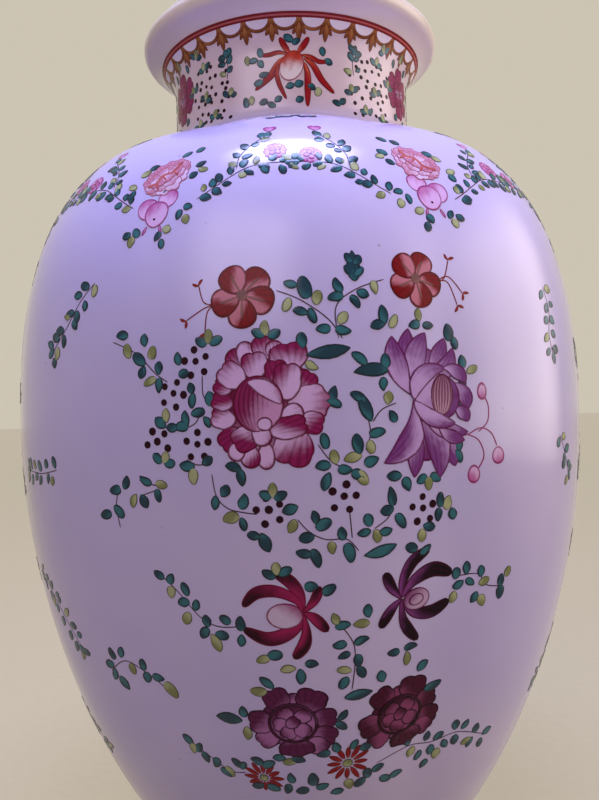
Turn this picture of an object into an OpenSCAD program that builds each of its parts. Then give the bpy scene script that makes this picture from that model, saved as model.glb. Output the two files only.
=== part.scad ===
// Lobed porcelain jar with a lift-off cover.
// The jar and the cover are each built from sections that a potter throws or
// moulds one by one and joins with slip, so every section is a solid of its own.
// Units are millimetres. The jar stands on z = 0, its axis is Z, its front is -Y.

/* [Body] */
// Largest radius of the body, on the crests of the lobes
belly_r = 102.5; // [94:0.5:110]
// Height of the seam between the two body sections, at the widest point
belly_z = 158; // [150:1:166]
// Height where the shoulder meets the neck
shoulder_z = 255; // [249:1:263]
// Number of lobes round the body
lobe_count = 8; // [6:1:10]
// Depth of the grooves between the lobes, at the belly
groove_depth = 2.2; // [0:0.1:3.5]
// Softness of the grooves: small is a crease, large is a wave
groove_softness = 0.25; // [0.1:0.05:0.6]
// Thickness of the wall
wall = 4.5; // [3.5:0.1:5.5]

/* [Foot] */
// Outer radius of the foot
foot_r = 52; // [48:1:56]
// Height of the foot ring
foot_h = 10; // [7:0.5:12]
// Width of the foot ring where it stands
foot_w = 7; // [5:0.5:9]
// Thickness of the disc that closes the bottom
base_t = 5; // [4:0.5:6]

/* [Neck and lip] */
// Outer radius of the neck
neck_r = 43.6; // [42:0.2:45]
// Height where the neck starts to flare out
flare_z = 278; // [273:1:281]
// Radius of the flare under the lip
flare_r = 16; // [13:0.5:18]
// How far the flare turns outwards, in degrees from upright
flare_turn = 66; // [58:1:72]
// Height of the seam between the neck and the lip
lip_seam_z = 285; // [283:0.5:287]
// Radius of the rounded edge of the lip
bead_r = 3.2; // [2.6:0.1:3.6]
// Radius of the rounding from the lip's top down into the bore
mouth_round = 7.3; // [5:0.1:7.5]

/* [Cover] */
// Outer radius of the cover's brim, which rests on the lip
brim_r = 50.4; // [49:0.2:51.6]
// Thickness of the brim
brim_t = 4; // [3:0.2:5]
// Outer radius of the dome where it leaves the brim
dome_r = 45; // [43:0.5:46]
// Height of the dome above the brim
dome_h = 24; // [18:1:30]
// Gap between the spigot and the bore, measured on the radius
spigot_gap = 1; // [0.6:0.1:2]
// How deep the spigot reaches into the neck
spigot_h = 13; // [9:0.5:13]
// Radius of the knob at its widest
knob_r = 10.5; // [8:0.5:13]
// Height of the knob
knob_h = 23; // [18:1:28]

/* [Hidden] */
$fn = 96;

glaze_colour = [0.88, 0.83, 0.91];
biscuit_colour = [0.84, 0.78, 0.70];
gilt_colour = [0.72, 0.47, 0.20];

// Handles of the two body curves: how far each end runs on before it bends
belly_rise = 42;
shoulder_reach = 53.5;
shoulder_fall = 4.2;
belly_drop = 63;
foot_reach = 27.5;
foot_rise = 32;
shoulder_curve = [[belly_r, belly_z], [belly_r, belly_z + belly_rise],
                  [neck_r + shoulder_reach, shoulder_z - shoulder_fall], [neck_r, shoulder_z]];
lower_curve = [[belly_r, belly_z], [belly_r, belly_z - belly_drop],
               [foot_r + foot_reach, foot_h + foot_rise], [foot_r, foot_h]];

// Counts of the body mesh: steps along the outside and inside, steps per lobe
outside_steps = 15;
inside_steps = 9;
steps_per_lobe = 12;
turn_steps = lobe_count * steps_per_lobe;
// The grooves keep their depth over most of the curve and fade out at its far end
fade_power = 4;

// Bottom: the disc sits inside the lower section with room for a film of slip.
// The foot ring narrows downwards by foot_taper outside and foot_draft inside
luting_gap = 0.05;
base_inset = 6.5;
base_r = foot_r - base_inset;
floor_z = foot_h + base_t;
foot_taper = 0.4;
foot_draft = 1;
foot_bevel = 1.2;

// Bore of the neck and the lip
neck_wall = 4.4;
bore_r = neck_r - neck_wall;

// Lip: the flare turns about flare_centre, and the bead carries on from its end
flare_centre = [neck_r + flare_r, flare_z];
flare_out = [-cos(flare_turn), sin(flare_turn)];
bead_centre = flare_centre + (flare_r + bead_r) * flare_out;
lip_z = bead_centre[1] + bead_r;
arc_step = 6;

// Cover
brim_top = lip_z + brim_t;
brim_round = 1.6;
spigot_r = bore_r - spigot_gap;
spigot_w = 4;
spigot_bevel = 1.5;

// Dome: how far its curve runs on flat at the top and upright at the side, as shares of its size
dome_t = 4;
dome_flat = 0.42;
dome_upright = 0.72;
dome_top = brim_top + dome_h;
dome_steps = 14;

// Knob: its radii, and its heights as shares of knob_h
knob_seat_r = 7;
waist_r = 5.2;
bud_start_r = 0.86 * knob_r;
bud_pull_r = 1.28 * knob_r;
tip_pull_r = 0.34 * knob_r;
tip_r = 1.2;
waist_share = 0.16;
bud_start_share = 0.3;
bud_share = 0.5;
tip_share = 0.86;
knob_steps = 9;

function bezier(p, t) =
    (1 - t) ^ 3 * p[0] + 3 * (1 - t) ^ 2 * t * p[1] + 3 * (1 - t) * t ^ 2 * p[2] + t ^ 3 * p[3];
function bezier_slope(p, t) =
    (1 - t) ^ 2 * (p[1] - p[0]) + 2 * (1 - t) * t * (p[2] - p[1]) + t ^ 2 * (p[3] - p[2]);
function unit(v) = v / norm(v);
// Points of an arc about c, from angle a to angle b
function arc(c, r, a, b) =
    let (n = ceil(abs(b - a) / arc_step))
    [for (i = [0 : n]) c + r * [cos(a + (b - a) * i / n), sin(a + (b - a) * i / n)]];

// 1 on the crest of a lobe and 0 in the groove beside it, at an angle from the front
function lobe_height(angle) =
    let (u = cos(lobe_count * angle / 2), k = groove_softness)
    (sqrt(u ^ 2 + k ^ 2) - k) / (sqrt(1 + k ^ 2) - k);
function groove(t, angle) = groove_depth * (1 - t ^ fade_power) * (1 - lobe_height(angle));
// Point of the body at t along a curve, sunk below the crest line along the normal.
// side is 1 where the curve climbs from the belly and -1 where it falls
function body_point(curve, side, t, angle, depth) =
    let (s = unit(bezier_slope(curve, t)))
    bezier(curve, t) - (depth + groove(t, angle)) * side * [s[1], -s[0]];

// Outline of the upper section at one angle: up the outside, across the neck's seat, down inside
function upper_outline(angle) = concat(
    [for (i = [0 : outside_steps]) body_point(shoulder_curve, 1, i / outside_steps, angle, 0)],
    [[bore_r, shoulder_z], [bore_r, shoulder_z - wall]],
    [for (i = [inside_steps : -1 : 0]) body_point(shoulder_curve, 1, i / inside_steps, angle, wall)]);

// Part of the lower curve where the inside of the wall meets the floor
floor_t = 0.925;
// Outline of the lower section at one angle: down the outside, across the foot, up inside
function lower_outline(angle) = concat(
    [for (i = [0 : outside_steps]) body_point(lower_curve, -1, i / outside_steps, angle, 0)],
    [[base_r, foot_h], [base_r, floor_z]],
    [for (i = [inside_steps : -1 : 0])
        let (p = body_point(lower_curve, -1, floor_t * i / inside_steps, angle, wall))
        [p[0], max(p[1], floor_z)]]);

// Closed ring through the outlines at every angle, turned once round the axis
module lobed_ring(outlines, flip) {
    n = len(outlines);
    m = len(outlines[0]);
    points = [for (i = [0 : n - 1]) let (a = 360 * i / n)
        for (p = outlines[i]) [p[0] * sin(a), -p[0] * cos(a), p[1]]];
    faces = [for (i = [0 : n - 1], j = [0 : m - 1])
        let (a = i * m + j, b = i * m + (j + 1) % m,
             c = ((i + 1) % n) * m + (j + 1) % m, d = ((i + 1) % n) * m + j)
        for (f = flip ? [[a, b, c], [a, c, d]] : [[a, c, b], [a, d, c]]) f];
    polyhedron(points, faces, convexity = 8);
}

module foot_ring() {
    inner_r = foot_r - foot_w;
    outer_r = foot_r - foot_taper;
    color(biscuit_colour)
        rotate_extrude()
            polygon([[inner_r - foot_draft, foot_h], [foot_r, foot_h], [outer_r, 2 * foot_bevel],
                     [outer_r - foot_bevel, 0], [inner_r + foot_bevel, 0], [inner_r, foot_bevel]]);
}

module base_disc() {
    color(glaze_colour)
        translate([0, 0, foot_h])
            cylinder(r = base_r - luting_gap, h = base_t);
}

module lower_body() {
    color(glaze_colour)
        lobed_ring([for (i = [0 : turn_steps - 1]) lower_outline(360 * i / turn_steps)], false);
}

module upper_body() {
    color(glaze_colour)
        lobed_ring([for (i = [0 : turn_steps - 1]) upper_outline(360 * i / turn_steps)], true);
}

// Angle on the flare at the neck's seam with the lip
seam_turn = asin((lip_seam_z - flare_z) / flare_r);

module neck() {
    color(glaze_colour)
        rotate_extrude()
            polygon(concat([[bore_r, lip_seam_z], [bore_r, shoulder_z], [neck_r, shoulder_z]],
                           arc(flare_centre, flare_r, 180, 180 - seam_turn)));
}

module lip() {
    mouth_centre = [bore_r + mouth_round, lip_z - mouth_round];
    color(glaze_colour)
        rotate_extrude()
            polygon(concat([[bore_r, lip_seam_z]],
                           arc(flare_centre, flare_r, 180 - seam_turn, 180 - flare_turn),
                           arc(bead_centre, bead_r, -flare_turn, 90),
                           arc(mouth_centre, mouth_round, 90, 180)));
}

module cover_brim() {
    edge_r = brim_r - brim_round;
    color(glaze_colour)
        rotate_extrude()
            polygon(concat([[spigot_r - spigot_w, brim_top], [spigot_r - spigot_w, lip_z]],
                           arc([edge_r, lip_z + brim_round], brim_round, -90, 0),
                           arc([edge_r, brim_top - brim_round], brim_round, 0, 90)));
}

module cover_spigot() {
    inner_r = spigot_r - spigot_w;
    bottom = lip_z - spigot_h;
    color(biscuit_colour)
        rotate_extrude()
            polygon([[inner_r, lip_z], [inner_r, bottom], [spigot_r - spigot_bevel, bottom],
                     [spigot_r, bottom + spigot_bevel], [spigot_r, lip_z]]);
}

// Outline of half the dome, from the knob's seat down to the brim, t thick inside the outer face
function dome_outline(t) =
    let (r = dome_r - t, top = dome_top - t,
         curve = [[knob_seat_r, top], [knob_seat_r + r * dome_flat, top],
                  [r, brim_top + (dome_h - t) * dome_upright], [r, brim_top]])
    [for (i = [0 : dome_steps]) bezier(curve, i / dome_steps)];

module cover_dome() {
    inside = dome_outline(dome_t);
    color(glaze_colour)
        rotate_extrude()
            polygon(concat([[0, dome_top - dome_t], [0, dome_top]], dome_outline(0),
                           [for (i = [dome_steps : -1 : 0]) inside[i]]));
}

// A bud on a short stem: a waist above the seat, then a belly drawn up to a point
module cover_knob() {
    bud_start = [bud_start_r, knob_h * bud_start_share];
    stem = [[knob_seat_r, 0], [waist_r, 0], [waist_r, knob_h * waist_share], bud_start];
    bud = [bud_start, [bud_pull_r, knob_h * bud_share], [tip_pull_r, knob_h * tip_share], [tip_r, knob_h]];
    color(gilt_colour)
        translate([0, 0, dome_top])
            rotate_extrude()
                polygon(concat([[0, 0]], [for (i = [0 : knob_steps]) bezier(stem, i / knob_steps)],
                               [for (i = [1 : knob_steps]) bezier(bud, i / knob_steps)], [[0, knob_h]]));
}

foot_ring();
base_disc();
lower_body();
upper_body();
neck();
lip();
cover_brim();
cover_spigot();
cover_dome();
cover_knob();
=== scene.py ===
import math
import random

import bmesh
import bpy
import numpy as np
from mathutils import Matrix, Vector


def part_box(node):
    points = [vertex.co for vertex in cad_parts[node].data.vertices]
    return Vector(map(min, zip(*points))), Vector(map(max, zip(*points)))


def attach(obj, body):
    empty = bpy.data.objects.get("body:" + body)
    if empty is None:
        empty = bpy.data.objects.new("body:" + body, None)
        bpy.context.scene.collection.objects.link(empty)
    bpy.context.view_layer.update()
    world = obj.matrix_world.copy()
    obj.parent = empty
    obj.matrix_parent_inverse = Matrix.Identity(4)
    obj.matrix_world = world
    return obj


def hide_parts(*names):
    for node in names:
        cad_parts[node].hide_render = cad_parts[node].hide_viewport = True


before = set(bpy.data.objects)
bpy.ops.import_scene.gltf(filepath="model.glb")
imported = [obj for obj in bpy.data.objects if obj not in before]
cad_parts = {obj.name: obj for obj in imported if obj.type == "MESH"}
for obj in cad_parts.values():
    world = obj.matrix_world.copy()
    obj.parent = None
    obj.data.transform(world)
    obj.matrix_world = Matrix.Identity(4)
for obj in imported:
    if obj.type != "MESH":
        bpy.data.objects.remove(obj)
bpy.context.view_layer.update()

# A lobed porcelain jar with a lift-off cover, painted with flower sprays in enamel.
# Sizes are in millimetres, places on a wall are given in degrees round the jar from its
# front and in millimetres along the wall, and meshes are made in metres.
MM = 0.001
SEED = 11
rng = random.Random(SEED)


def high(node, axis):
    """Highest coordinate of a CAD node along an axis, in millimetres."""
    return round(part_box(node)[1][axis] / MM, 2)


# Sizes that the frame gives
BELLY_R = high("lower_body", 0)
BELLY_Z = high("lower_body", 2)
SHOULDER_Z = high("upper_body", 2)
FOOT_R = high("foot_ring", 0)
FOOT_H = high("foot_ring", 2)
FLOOR_Z = high("base_disc", 2)
LIP_SEAM_Z = high("neck", 2)
LIP_Z = high("lip", 2)
BRIM_R = high("cover_brim", 0)
BRIM_TOP = high("cover_brim", 2)
DOME_R = high("cover_dome", 0)
DOME_TOP = high("cover_dome", 2)
SPIGOT_R = high("cover_spigot", 0)
KNOB_H = high("cover_knob", 2) - DOME_TOP

# Sizes of the walls and of the curves that the solids follow
LOBES = 8
GROOVE_DEPTH = 2.2
GROOVE_SOFTNESS = 0.25
GROOVE_FADE = 4
WALL = 4.5
NECK_R = 43.6
NECK_FILLET = 8
BORE_R = 39.2
BASE_R = 45.5
FLARE_Z = 278
FLARE_R = 16
FLARE_TURN = 66
BEAD_R = 3.2
MOUTH_ROUND = 7.3
BRIM_ROUND = 1.6
SPIGOT_W = 4
SPIGOT_H = 13
SPIGOT_ROUND = 1.5
DOME_T = 4

# Foot: its width, how far its side draws in, and the inset and radius of the edges of its standing face
FOOT_W = 8
FOOT_DRAWN_IN = 0.2
OUTER_EDGE = (2, 1.6)
INNER_EDGE = (5.4, 1.4)

# Handles of the body's curves, from the belly, the neck and the foot
SHOULDER_RISE = 42
SHOULDER_REACH = 53.5
SHOULDER_FALL = 4.2
LOWER_FALL = 63
FOOT_REACH = 27.5
FOOT_RISE = 32
SHOULDER_CURVE = [
    (BELLY_R, BELLY_Z), (BELLY_R, BELLY_Z + SHOULDER_RISE),
    (NECK_R + SHOULDER_REACH, SHOULDER_Z - SHOULDER_FALL), (NECK_R, SHOULDER_Z),
]
LOWER_CURVE = [
    (BELLY_R, BELLY_Z), (BELLY_R, BELLY_Z - LOWER_FALL),
    (FOOT_R + FOOT_REACH, FOOT_H + FOOT_RISE), (FOOT_R, FOOT_H),
]

# Handles of the dome's curve as shares of its height and radius
DOME_RISE = 0.72
DOME_REACH = 0.42

# Knob: its radii, its petals and how deep they fold, and its curves as shares of its radius and height
KNOB_SEAT_R = 7
KNOB_STEM_R = 5.2
KNOB_TIP_R = 1.2
KNOB_PETALS = 6
KNOB_FOLD = 0.09
STEM_HANDLE = 0.16
BUD_START = (0.86, 0.3)
BUD_HANDLES = ((1.28, 0.5), (0.34, 0.86))

# Steps of the meshes
LINE_STEPS = 240
FILLET_STEPS = 24
COLLAR_STEPS = 40
FLARE_STEPS = 60
BRIM_STEPS = 24
EDGE_STEPS = 8
MOUTH_STEPS = 16
BODY_TURNS = 384
NECK_TURNS = 192
BODY_ROWS = 64
INSIDE_ROWS = 24
NECK_ROWS = 48
LIP_ROWS = 44
DOME_SKIP = 5
HOLLOW_ROWS = 24
STEM_ROWS = 14
BUD_ROWS = 26
SHARP_ANGLE = 35


def bezier(points, share):
    """Points of a cubic curve at the given shares of its run."""
    p = np.array(points, float)
    t = np.asarray(share, float)[:, None]
    return (1 - t) ** 3 * p[0] + 3 * (1 - t) ** 2 * t * p[1] + 3 * (1 - t) * t**2 * p[2] + t**3 * p[3]


def arc(centre, radius, start, end, steps):
    """Points of an arc between two angles in degrees."""
    angle = np.radians(np.linspace(start, end, steps))
    return np.array(centre) + radius * np.stack([np.cos(angle), np.sin(angle)], 1)


def lobe_height(azimuth):
    """1 on the crest of a lobe and 0 in the groove beside it."""
    k = GROOVE_SOFTNESS
    u = np.cos(LOBES * azimuth / 2)
    return (np.sqrt(u**2 + k**2) - k) / (math.sqrt(1 + k**2) - k)


class Skin:
    """Outside of a wall: its line of radius and height, its way out, and the depth of its grooves."""

    def __init__(self, line, grooves=0.0, zero=0):
        self.line = np.array(line, float)
        steps = np.hypot(*np.diff(self.line, axis=0).T)
        self.along = np.concatenate([[0], np.cumsum(steps)])
        self.along -= self.along[zero]
        slope = np.gradient(self.line, self.along, axis=0)
        slope /= np.linalg.norm(slope, axis=1)[:, None]
        self.columns = (*self.line.T, slope[:, 1], -slope[:, 0], np.zeros(len(line)) + grooves)

    def radius(self, along):
        return np.interp(along, self.along, self.line[:, 0])

    def place(self, azimuth, along, lift=0.0):
        """Points in metres at an azimuth in radians, a length along the wall and a lift off it."""
        r, z, out_r, out_z, groove = (np.interp(along, self.along, column) for column in self.columns)
        off = lift - groove * (1 - lobe_height(azimuth))
        r = r + out_r * off
        x, y, z = np.broadcast_arrays(r * np.sin(azimuth), -r * np.cos(azimuth), z + out_z * off)
        return np.stack([x, y, z], -1) * MM

    def normals(self, azimuth, along):
        """Way out of the surface, from small steps round and along it."""
        step = 0.2
        turn = step / self.radius(along)
        low, top = self.along[0], self.along[-1]
        here = np.clip(along, low + step, top - step)
        round_it = self.place(azimuth + turn, here) - self.place(azimuth - turn, here)
        up_it = self.place(azimuth, here + step) - self.place(azimuth, here - step)
        out = np.cross(round_it, up_it)
        return out / np.linalg.norm(out, axis=-1, keepdims=True)


shares = np.linspace(0, 1, LINE_STEPS)
fade = GROOVE_DEPTH * (1 - shares**GROOVE_FADE)
BODY = Skin(
    np.concatenate([bezier(LOWER_CURVE, shares)[::-1], bezier(SHOULDER_CURVE, shares)[1:]]),
    np.concatenate([fade[::-1], fade[1:]]),
    zero=LINE_STEPS - 1,
)
flare_centre = np.array([NECK_R + FLARE_R, FLARE_Z])
flare_out = np.array([-math.cos(math.radians(FLARE_TURN)), math.sin(math.radians(FLARE_TURN))])
bead_centre = flare_centre + (FLARE_R + BEAD_R) * flare_out
shoulder_slope = math.atan2(SHOULDER_FALL, SHOULDER_REACH)
fillet_top = NECK_FILLET * (1 / math.cos(shoulder_slope) - math.tan(shoulder_slope))
fillet_centre = (NECK_R + NECK_FILLET, SHOULDER_Z + fillet_top)
collar = np.linspace(fillet_centre[1], FLARE_Z, COLLAR_STEPS, endpoint=False)
NECK = Skin(
    np.concatenate(
        [
            arc(fillet_centre, NECK_FILLET, 270 - math.degrees(shoulder_slope), 180, FILLET_STEPS)[:-1],
            np.stack([np.full(COLLAR_STEPS, NECK_R), collar], 1),
            arc(flare_centre, FLARE_R, 180, 180 - FLARE_TURN, FLARE_STEPS)[:-1],
            arc(bead_centre, BEAD_R, -FLARE_TURN, 90, FLARE_STEPS),
        ]
    ),
    zero=FILLET_STEPS - 1,
)
NECK.along += fillet_top


def dome_curve(radius, top):
    """Curve of a dome on the brim, from its edge up to the seat of the knob."""
    return [
        (radius, BRIM_TOP), (radius, BRIM_TOP + DOME_RISE * (top - BRIM_TOP)),
        (KNOB_SEAT_R + DOME_REACH * radius, top), (KNOB_SEAT_R, top),
    ]


DOME = Skin(bezier(dome_curve(DOME_R, DOME_TOP), shares))
brim_edge = BRIM_R - BRIM_ROUND
brim_flat = np.linspace(brim_edge, DOME_R, BRIM_STEPS // 2)[1:]
BRIM = Skin(
    np.concatenate(
        [
            arc((brim_edge, LIP_Z + BRIM_ROUND), BRIM_ROUND, -90, 0, BRIM_STEPS),
            arc((brim_edge, BRIM_TOP - BRIM_ROUND), BRIM_ROUND, 0, 90, BRIM_STEPS),
            np.stack([brim_flat, np.full_like(brim_flat, BRIM_TOP)], 1),
        ]
    )
)


# Materials


def srgb(red, green, blue):
    """Colour for a shader from 0 to 255 screen values."""
    parts = [c / 255 for c in (red, green, blue)]
    return (*(c / 12.92 if c <= 0.04045 else ((c + 0.055) / 1.055) ** 2.4 for c in parts), 1)


class Nodes:
    """Short names for the nodes of one tree."""

    def __init__(self, tree):
        self.tree = tree

    def feed(self, socket, value):
        if isinstance(value, bpy.types.NodeSocket):
            self.tree.links.new(value, socket)
        else:
            socket.default_value = value

    def node(self, kind, settings=(), inputs=()):
        made = self.tree.nodes.new("ShaderNode" + kind)
        for key, value in dict(settings).items():
            setattr(made, key, value)
        for key, value in dict(inputs).items():
            self.feed(made.inputs[key], value)
        return made

    def place(self):
        """Coordinates of the piece in its own frame, in metres."""
        return self.node("TexCoord").outputs["Object"]

    def height(self):
        return self.node("SeparateXYZ", inputs={0: self.place()}).outputs["Z"]

    def noise(self, scale, detail=2.0, rough=0.5, at=None):
        inputs = {"Vector": at or self.place(), "Scale": scale, "Detail": detail, "Roughness": rough}
        return self.node("TexNoise", inputs=inputs).outputs["Fac"]

    def math(self, operation, a, b=0.0, clamp=False):
        made = self.node("Math", {"operation": operation, "use_clamp": clamp}, {0: a, 1: b})
        return made.outputs[0]

    def ramp(self, value, low, top, to_low=0.0, to_top=1.0):
        """Smooth step of a value from one range to another."""
        inputs = {"Value": value, "From Min": low, "From Max": top, "To Min": to_low, "To Max": to_top}
        return self.node("MapRange", {"interpolation_type": "SMOOTHSTEP"}, inputs).outputs["Result"]

    def mix(self, share, a, b):
        made = self.node("Mix", {"data_type": "RGBA"}, {0: share, 6: a, 7: b})
        return made.outputs[2]

    def attribute(self, name):
        """The three parts of a vector stored on the mesh."""
        stored = self.node("Attribute", {"attribute_name": name}).outputs["Vector"]
        return self.node("SeparateXYZ", inputs={0: stored}).outputs

    def bump(self, height, distance, strength=1.0, under=None):
        inputs = {"Height": height, "Distance": distance, "Strength": strength}
        if under:
            inputs["Normal"] = under
        return self.node("Bump", inputs=inputs).outputs["Normal"]


class Shader(Nodes):
    """A material on one Principled shader."""

    def __init__(self, name, **sockets):
        self.material = bpy.data.materials.new(name)
        self.material.use_nodes = True
        super().__init__(self.material.node_tree)
        self.set(**sockets)

    def set(self, **sockets):
        out = self.tree.nodes["Principled BSDF"]
        for key, value in sockets.items():
            self.feed(out.inputs[key.replace("_", " ")], value)


GLAZE_WHITE = srgb(214, 201, 240)
GLAZE_COOL = srgb(204, 192, 238)
GLAZE_WARM = srgb(218, 203, 232)
# Painted light: whiter colours for the neck and the lip, which stand in for the light that falls on them
NECK_PAINTED_LIGHT = srgb(226, 202, 202)
LIP_PAINTED_LIGHT = srgb(244, 228, 212)
SPECK = srgb(120, 100, 96)
BISCUIT = srgb(205, 190, 168)
BISCUIT_DARK = srgb(158, 122, 92)
GILT_DARK = srgb(122, 72, 36)
GILT_BRIGHT = srgb(196, 138, 66)

# How far up from the shoulder and from the lip's seam the glaze is painted whiter, as painted light on
# the neck and lip
NECK_FADE = 10
LIP_FADE = 6

# Heights on the foot, in metres, over which the glaze ends and the bare clay is toasted
GLAZE_END = (0.0034, 0.0028)
TOASTED = (0.0018, 0.0032)


def add_glaze(shader):
    """Colour and bump of a clear glaze over white porcelain, with faint pooling and specks, and painted
    light that makes the neck and lip whiter.
    """
    cloud = shader.ramp(shader.noise(16, 3), 0.35, 0.65)
    tone = shader.mix(cloud, GLAZE_COOL, GLAZE_WHITE)
    tone = shader.mix(shader.ramp(shader.noise(7, 2), 0.52, 0.75, 0, 0.6), tone, GLAZE_WARM)
    # Painted light: the glaze is painted whiter up the neck and on the lip, in place of the light that
    # falls there
    level = shader.height()
    above = shader.ramp(level, SHOULDER_Z * MM, (SHOULDER_Z + NECK_FADE) * MM, 0, 0.9)
    tone = shader.mix(above, tone, NECK_PAINTED_LIGHT)
    lip = shader.ramp(level, LIP_SEAM_Z * MM, (LIP_SEAM_Z + LIP_FADE) * MM)
    tone = shader.mix(lip, tone, LIP_PAINTED_LIGHT)
    spots = shader.node("TexVoronoi", inputs={"Vector": shader.place(), "Scale": 190.0})
    rare = shader.ramp(shader.noise(60, 1), 0.6, 0.68)
    dot = shader.math("MULTIPLY", shader.ramp(spots.outputs["Distance"], 0.10, 0.05), rare)
    tone = shader.mix(shader.math("MULTIPLY", dot, 0.45), tone, SPECK)
    waves = shader.bump(shader.noise(26, 2), 0.0005, 0.35)
    ripple = shader.bump(shader.noise(80, 2), 0.00012, 0.35, waves)
    skin = shader.bump(shader.noise(420, 2), 0.00003, 0.35, ripple)
    return tone, skin


def add_grit(shader, clay):
    """Colour of bare clay with dark sand in it, and the sand's height."""
    grit = shader.noise(900, 3, 0.7)
    return shader.mix(shader.ramp(grit, 0.6, 0.75, 0, 0.5), clay, SPECK), grit


def glaze_material():
    """Clear glaze over porcelain, glossier in some places than in others."""
    shader = Shader("porcelain_glaze", Coat_Weight=0.25, Coat_Roughness=0.04, IOR=1.45)
    tone, skin = add_glaze(shader)
    rough = shader.ramp(shader.noise(34, 3), 0.3, 0.7, 0.10, 0.22)
    shader.set(Base_Color=tone, Normal=skin, Roughness=rough)
    return shader.material


def biscuit_material():
    """Unglazed porcelain: matt, a little sandy and toasted in patches, with turning marks."""
    shader = Shader("unglazed_biscuit", IOR=1.45)
    toasted = shader.ramp(shader.noise(60, 3), 0.35, 0.7)
    tone, grit = add_grit(shader, shader.mix(toasted, BISCUIT, BISCUIT_DARK))
    rings = shader.node("TexWave", {"wave_type": "RINGS", "rings_direction": "Z"},
                        {"Vector": shader.place(), "Scale": 260.0, "Distortion": 2.0})
    relief = shader.bump(rings.outputs["Fac"], 0.0001, 0.4)
    shader.set(Base_Color=tone, Roughness=shader.ramp(grit, 0.3, 0.7, 0.62, 0.85),
               Normal=shader.bump(grit, 0.0001, 0.5, relief))
    return shader.material


def foot_material():
    """Glaze that runs down to an uneven edge above the bare standing ring."""
    shader = Shader("foot_glaze_edge", Coat_Roughness=0.05, IOR=1.5)
    tone, skin = add_glaze(shader)
    uneven = shader.ramp(shader.noise(45, 2), 0.3, 0.7, -0.0008, 0.0008)
    edge = shader.math("ADD", shader.height(), uneven)
    bare = shader.ramp(edge, *GLAZE_END)
    clay, grit = add_grit(shader, shader.mix(shader.ramp(edge, *TOASTED), BISCUIT, BISCUIT_DARK))
    shader.set(Base_Color=shader.mix(bare, tone, clay), Roughness=shader.ramp(bare, 0, 1, 0.12, 0.75),
               Coat_Weight=shader.ramp(bare, 0, 1, 0.6, 0.0),
               Normal=shader.bump(grit, 0.00005, 0.3, skin))
    return shader.material


def gilt_material():
    """Worn gilding: brown-gold, satin, rubbed in patches."""
    shader = Shader("worn_gilding", Metallic=0.55, IOR=1.5)
    rub = shader.noise(300, 4, 0.6)
    tone = shader.mix(shader.ramp(rub, 0.35, 0.7), GILT_DARK, GILT_BRIGHT)
    shader.set(Base_Color=tone, Roughness=shader.ramp(rub, 0.3, 0.7, 0.48, 0.28),
               Normal=shader.bump(shader.noise(900, 2), 0.00004, 0.5))
    return shader.material


GLAZE = glaze_material()
BISCUIT_BARE = biscuit_material()
FOOT = foot_material()
GILT = gilt_material()


# Walls of the jar and the cover


# Length along the wall where its inner side meets the floor, and the radius of a hole too small to see
FLOOR_MEETS = -150
AXIS_R = 0.02
foot_along = BODY.along[0]
neck_along = BODY.along[-1]
seam_along = FLARE_Z - SHOULDER_Z + FLARE_R * math.asin((LIP_SEAM_Z - FLARE_Z) / FLARE_R)


def circle(radius, z, azimuth):
    """Points of a level ring, or of a folded one if the radius varies round it."""
    level = np.full_like(azimuth, z)
    return np.stack([radius * np.sin(azimuth), -radius * np.cos(azimuth), level], -1) * MM


def show(name, mesh, material, body, *nodes, slot="glaze"):
    """Put a mesh in the scene on its body, in place of the nodes that it stands for."""
    piece = bpy.data.objects.new(name, mesh)
    bpy.context.scene.collection.objects.link(piece)
    mesh.materials.append(material)
    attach(piece, body)
    if nodes:
        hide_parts(*nodes)
    return piece


def ring_faces(count, turns, closed=True):
    """Quads between rings that follow each other, and from the last to the first if closed."""
    faces = []
    for j in range(count if closed else count - 1):
        low = j * turns
        top = (j + 1) % count * turns
        for i in range(turns):
            k = (i + 1) % turns
            faces.append((low + i, low + k, top + k, top + i))
    return faces


def ring_mesh(name, rings):
    """Closed mesh through rings of points, the last joined to the first."""
    mesh = bpy.data.meshes.new(name)
    mesh.from_pydata(np.concatenate(rings).tolist(), [], ring_faces(len(rings), len(rings[0])))
    mesh.shade_smooth()
    mesh.set_sharp_from_angle(angle=math.radians(SHARP_ANGLE))
    return mesh


def ring_at(ring, azimuth):
    """A ring from its radius and height, or from its own function of the azimuth."""
    return ring(azimuth) if callable(ring) else circle(*ring, azimuth)


def wall_piece(node, skin, rows, back, body, turns=NECK_TURNS):
    """A glazed section: rows up its skin, then the rings behind it, down to where it started.

    The rows take the normals of the skin, so that light runs on across the seams."""
    name = f"{node}_glaze"
    azimuth = np.linspace(0, 2 * math.pi, turns, endpoint=False)
    rings = [skin.place(azimuth, along) for along in rows]
    mesh = ring_mesh(name, rings + [ring_at(ring, azimuth) for ring in back])
    way = np.zeros((len(mesh.vertices), 3))
    way[: len(rows) * turns] = np.concatenate([skin.normals(azimuth, along) for along in rows])
    corner = np.zeros(len(mesh.loops), np.int32)
    mesh.loops.foreach_get("vertex_index", corner)
    normals = way[corner]
    normals[(len(rows) - 1) * turns * 4 :] = 0
    mesh.normals_split_custom_set(normals.tolist())
    return show(name, mesh, GLAZE, body, node)


def turned_piece(name, node, profile, material, body, slot):
    """A ring turned from a closed profile, up its outside and down its inside."""
    azimuth = np.linspace(0, 2 * math.pi, NECK_TURNS, endpoint=False)
    mesh = ring_mesh(name, [ring_at(ring, azimuth) for ring in profile])
    return show(name, mesh, material, body, node, slot=slot)


def inside(along, floor=0.0):
    """Ring on the inner side of the body's wall, no lower than the floor."""

    def ring(azimuth):
        points = BODY.place(azimuth, along, -WALL)
        points[:, 2] = np.maximum(points[:, 2], floor * MM)
        return points

    return ring


def foot_edge(inset, radius, end):
    """Quarter round beside the foot's standing face, up to an angle in degrees."""
    return arc((FOOT_R - inset, radius), radius, end - 90, end, EDGE_STEPS)


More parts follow.
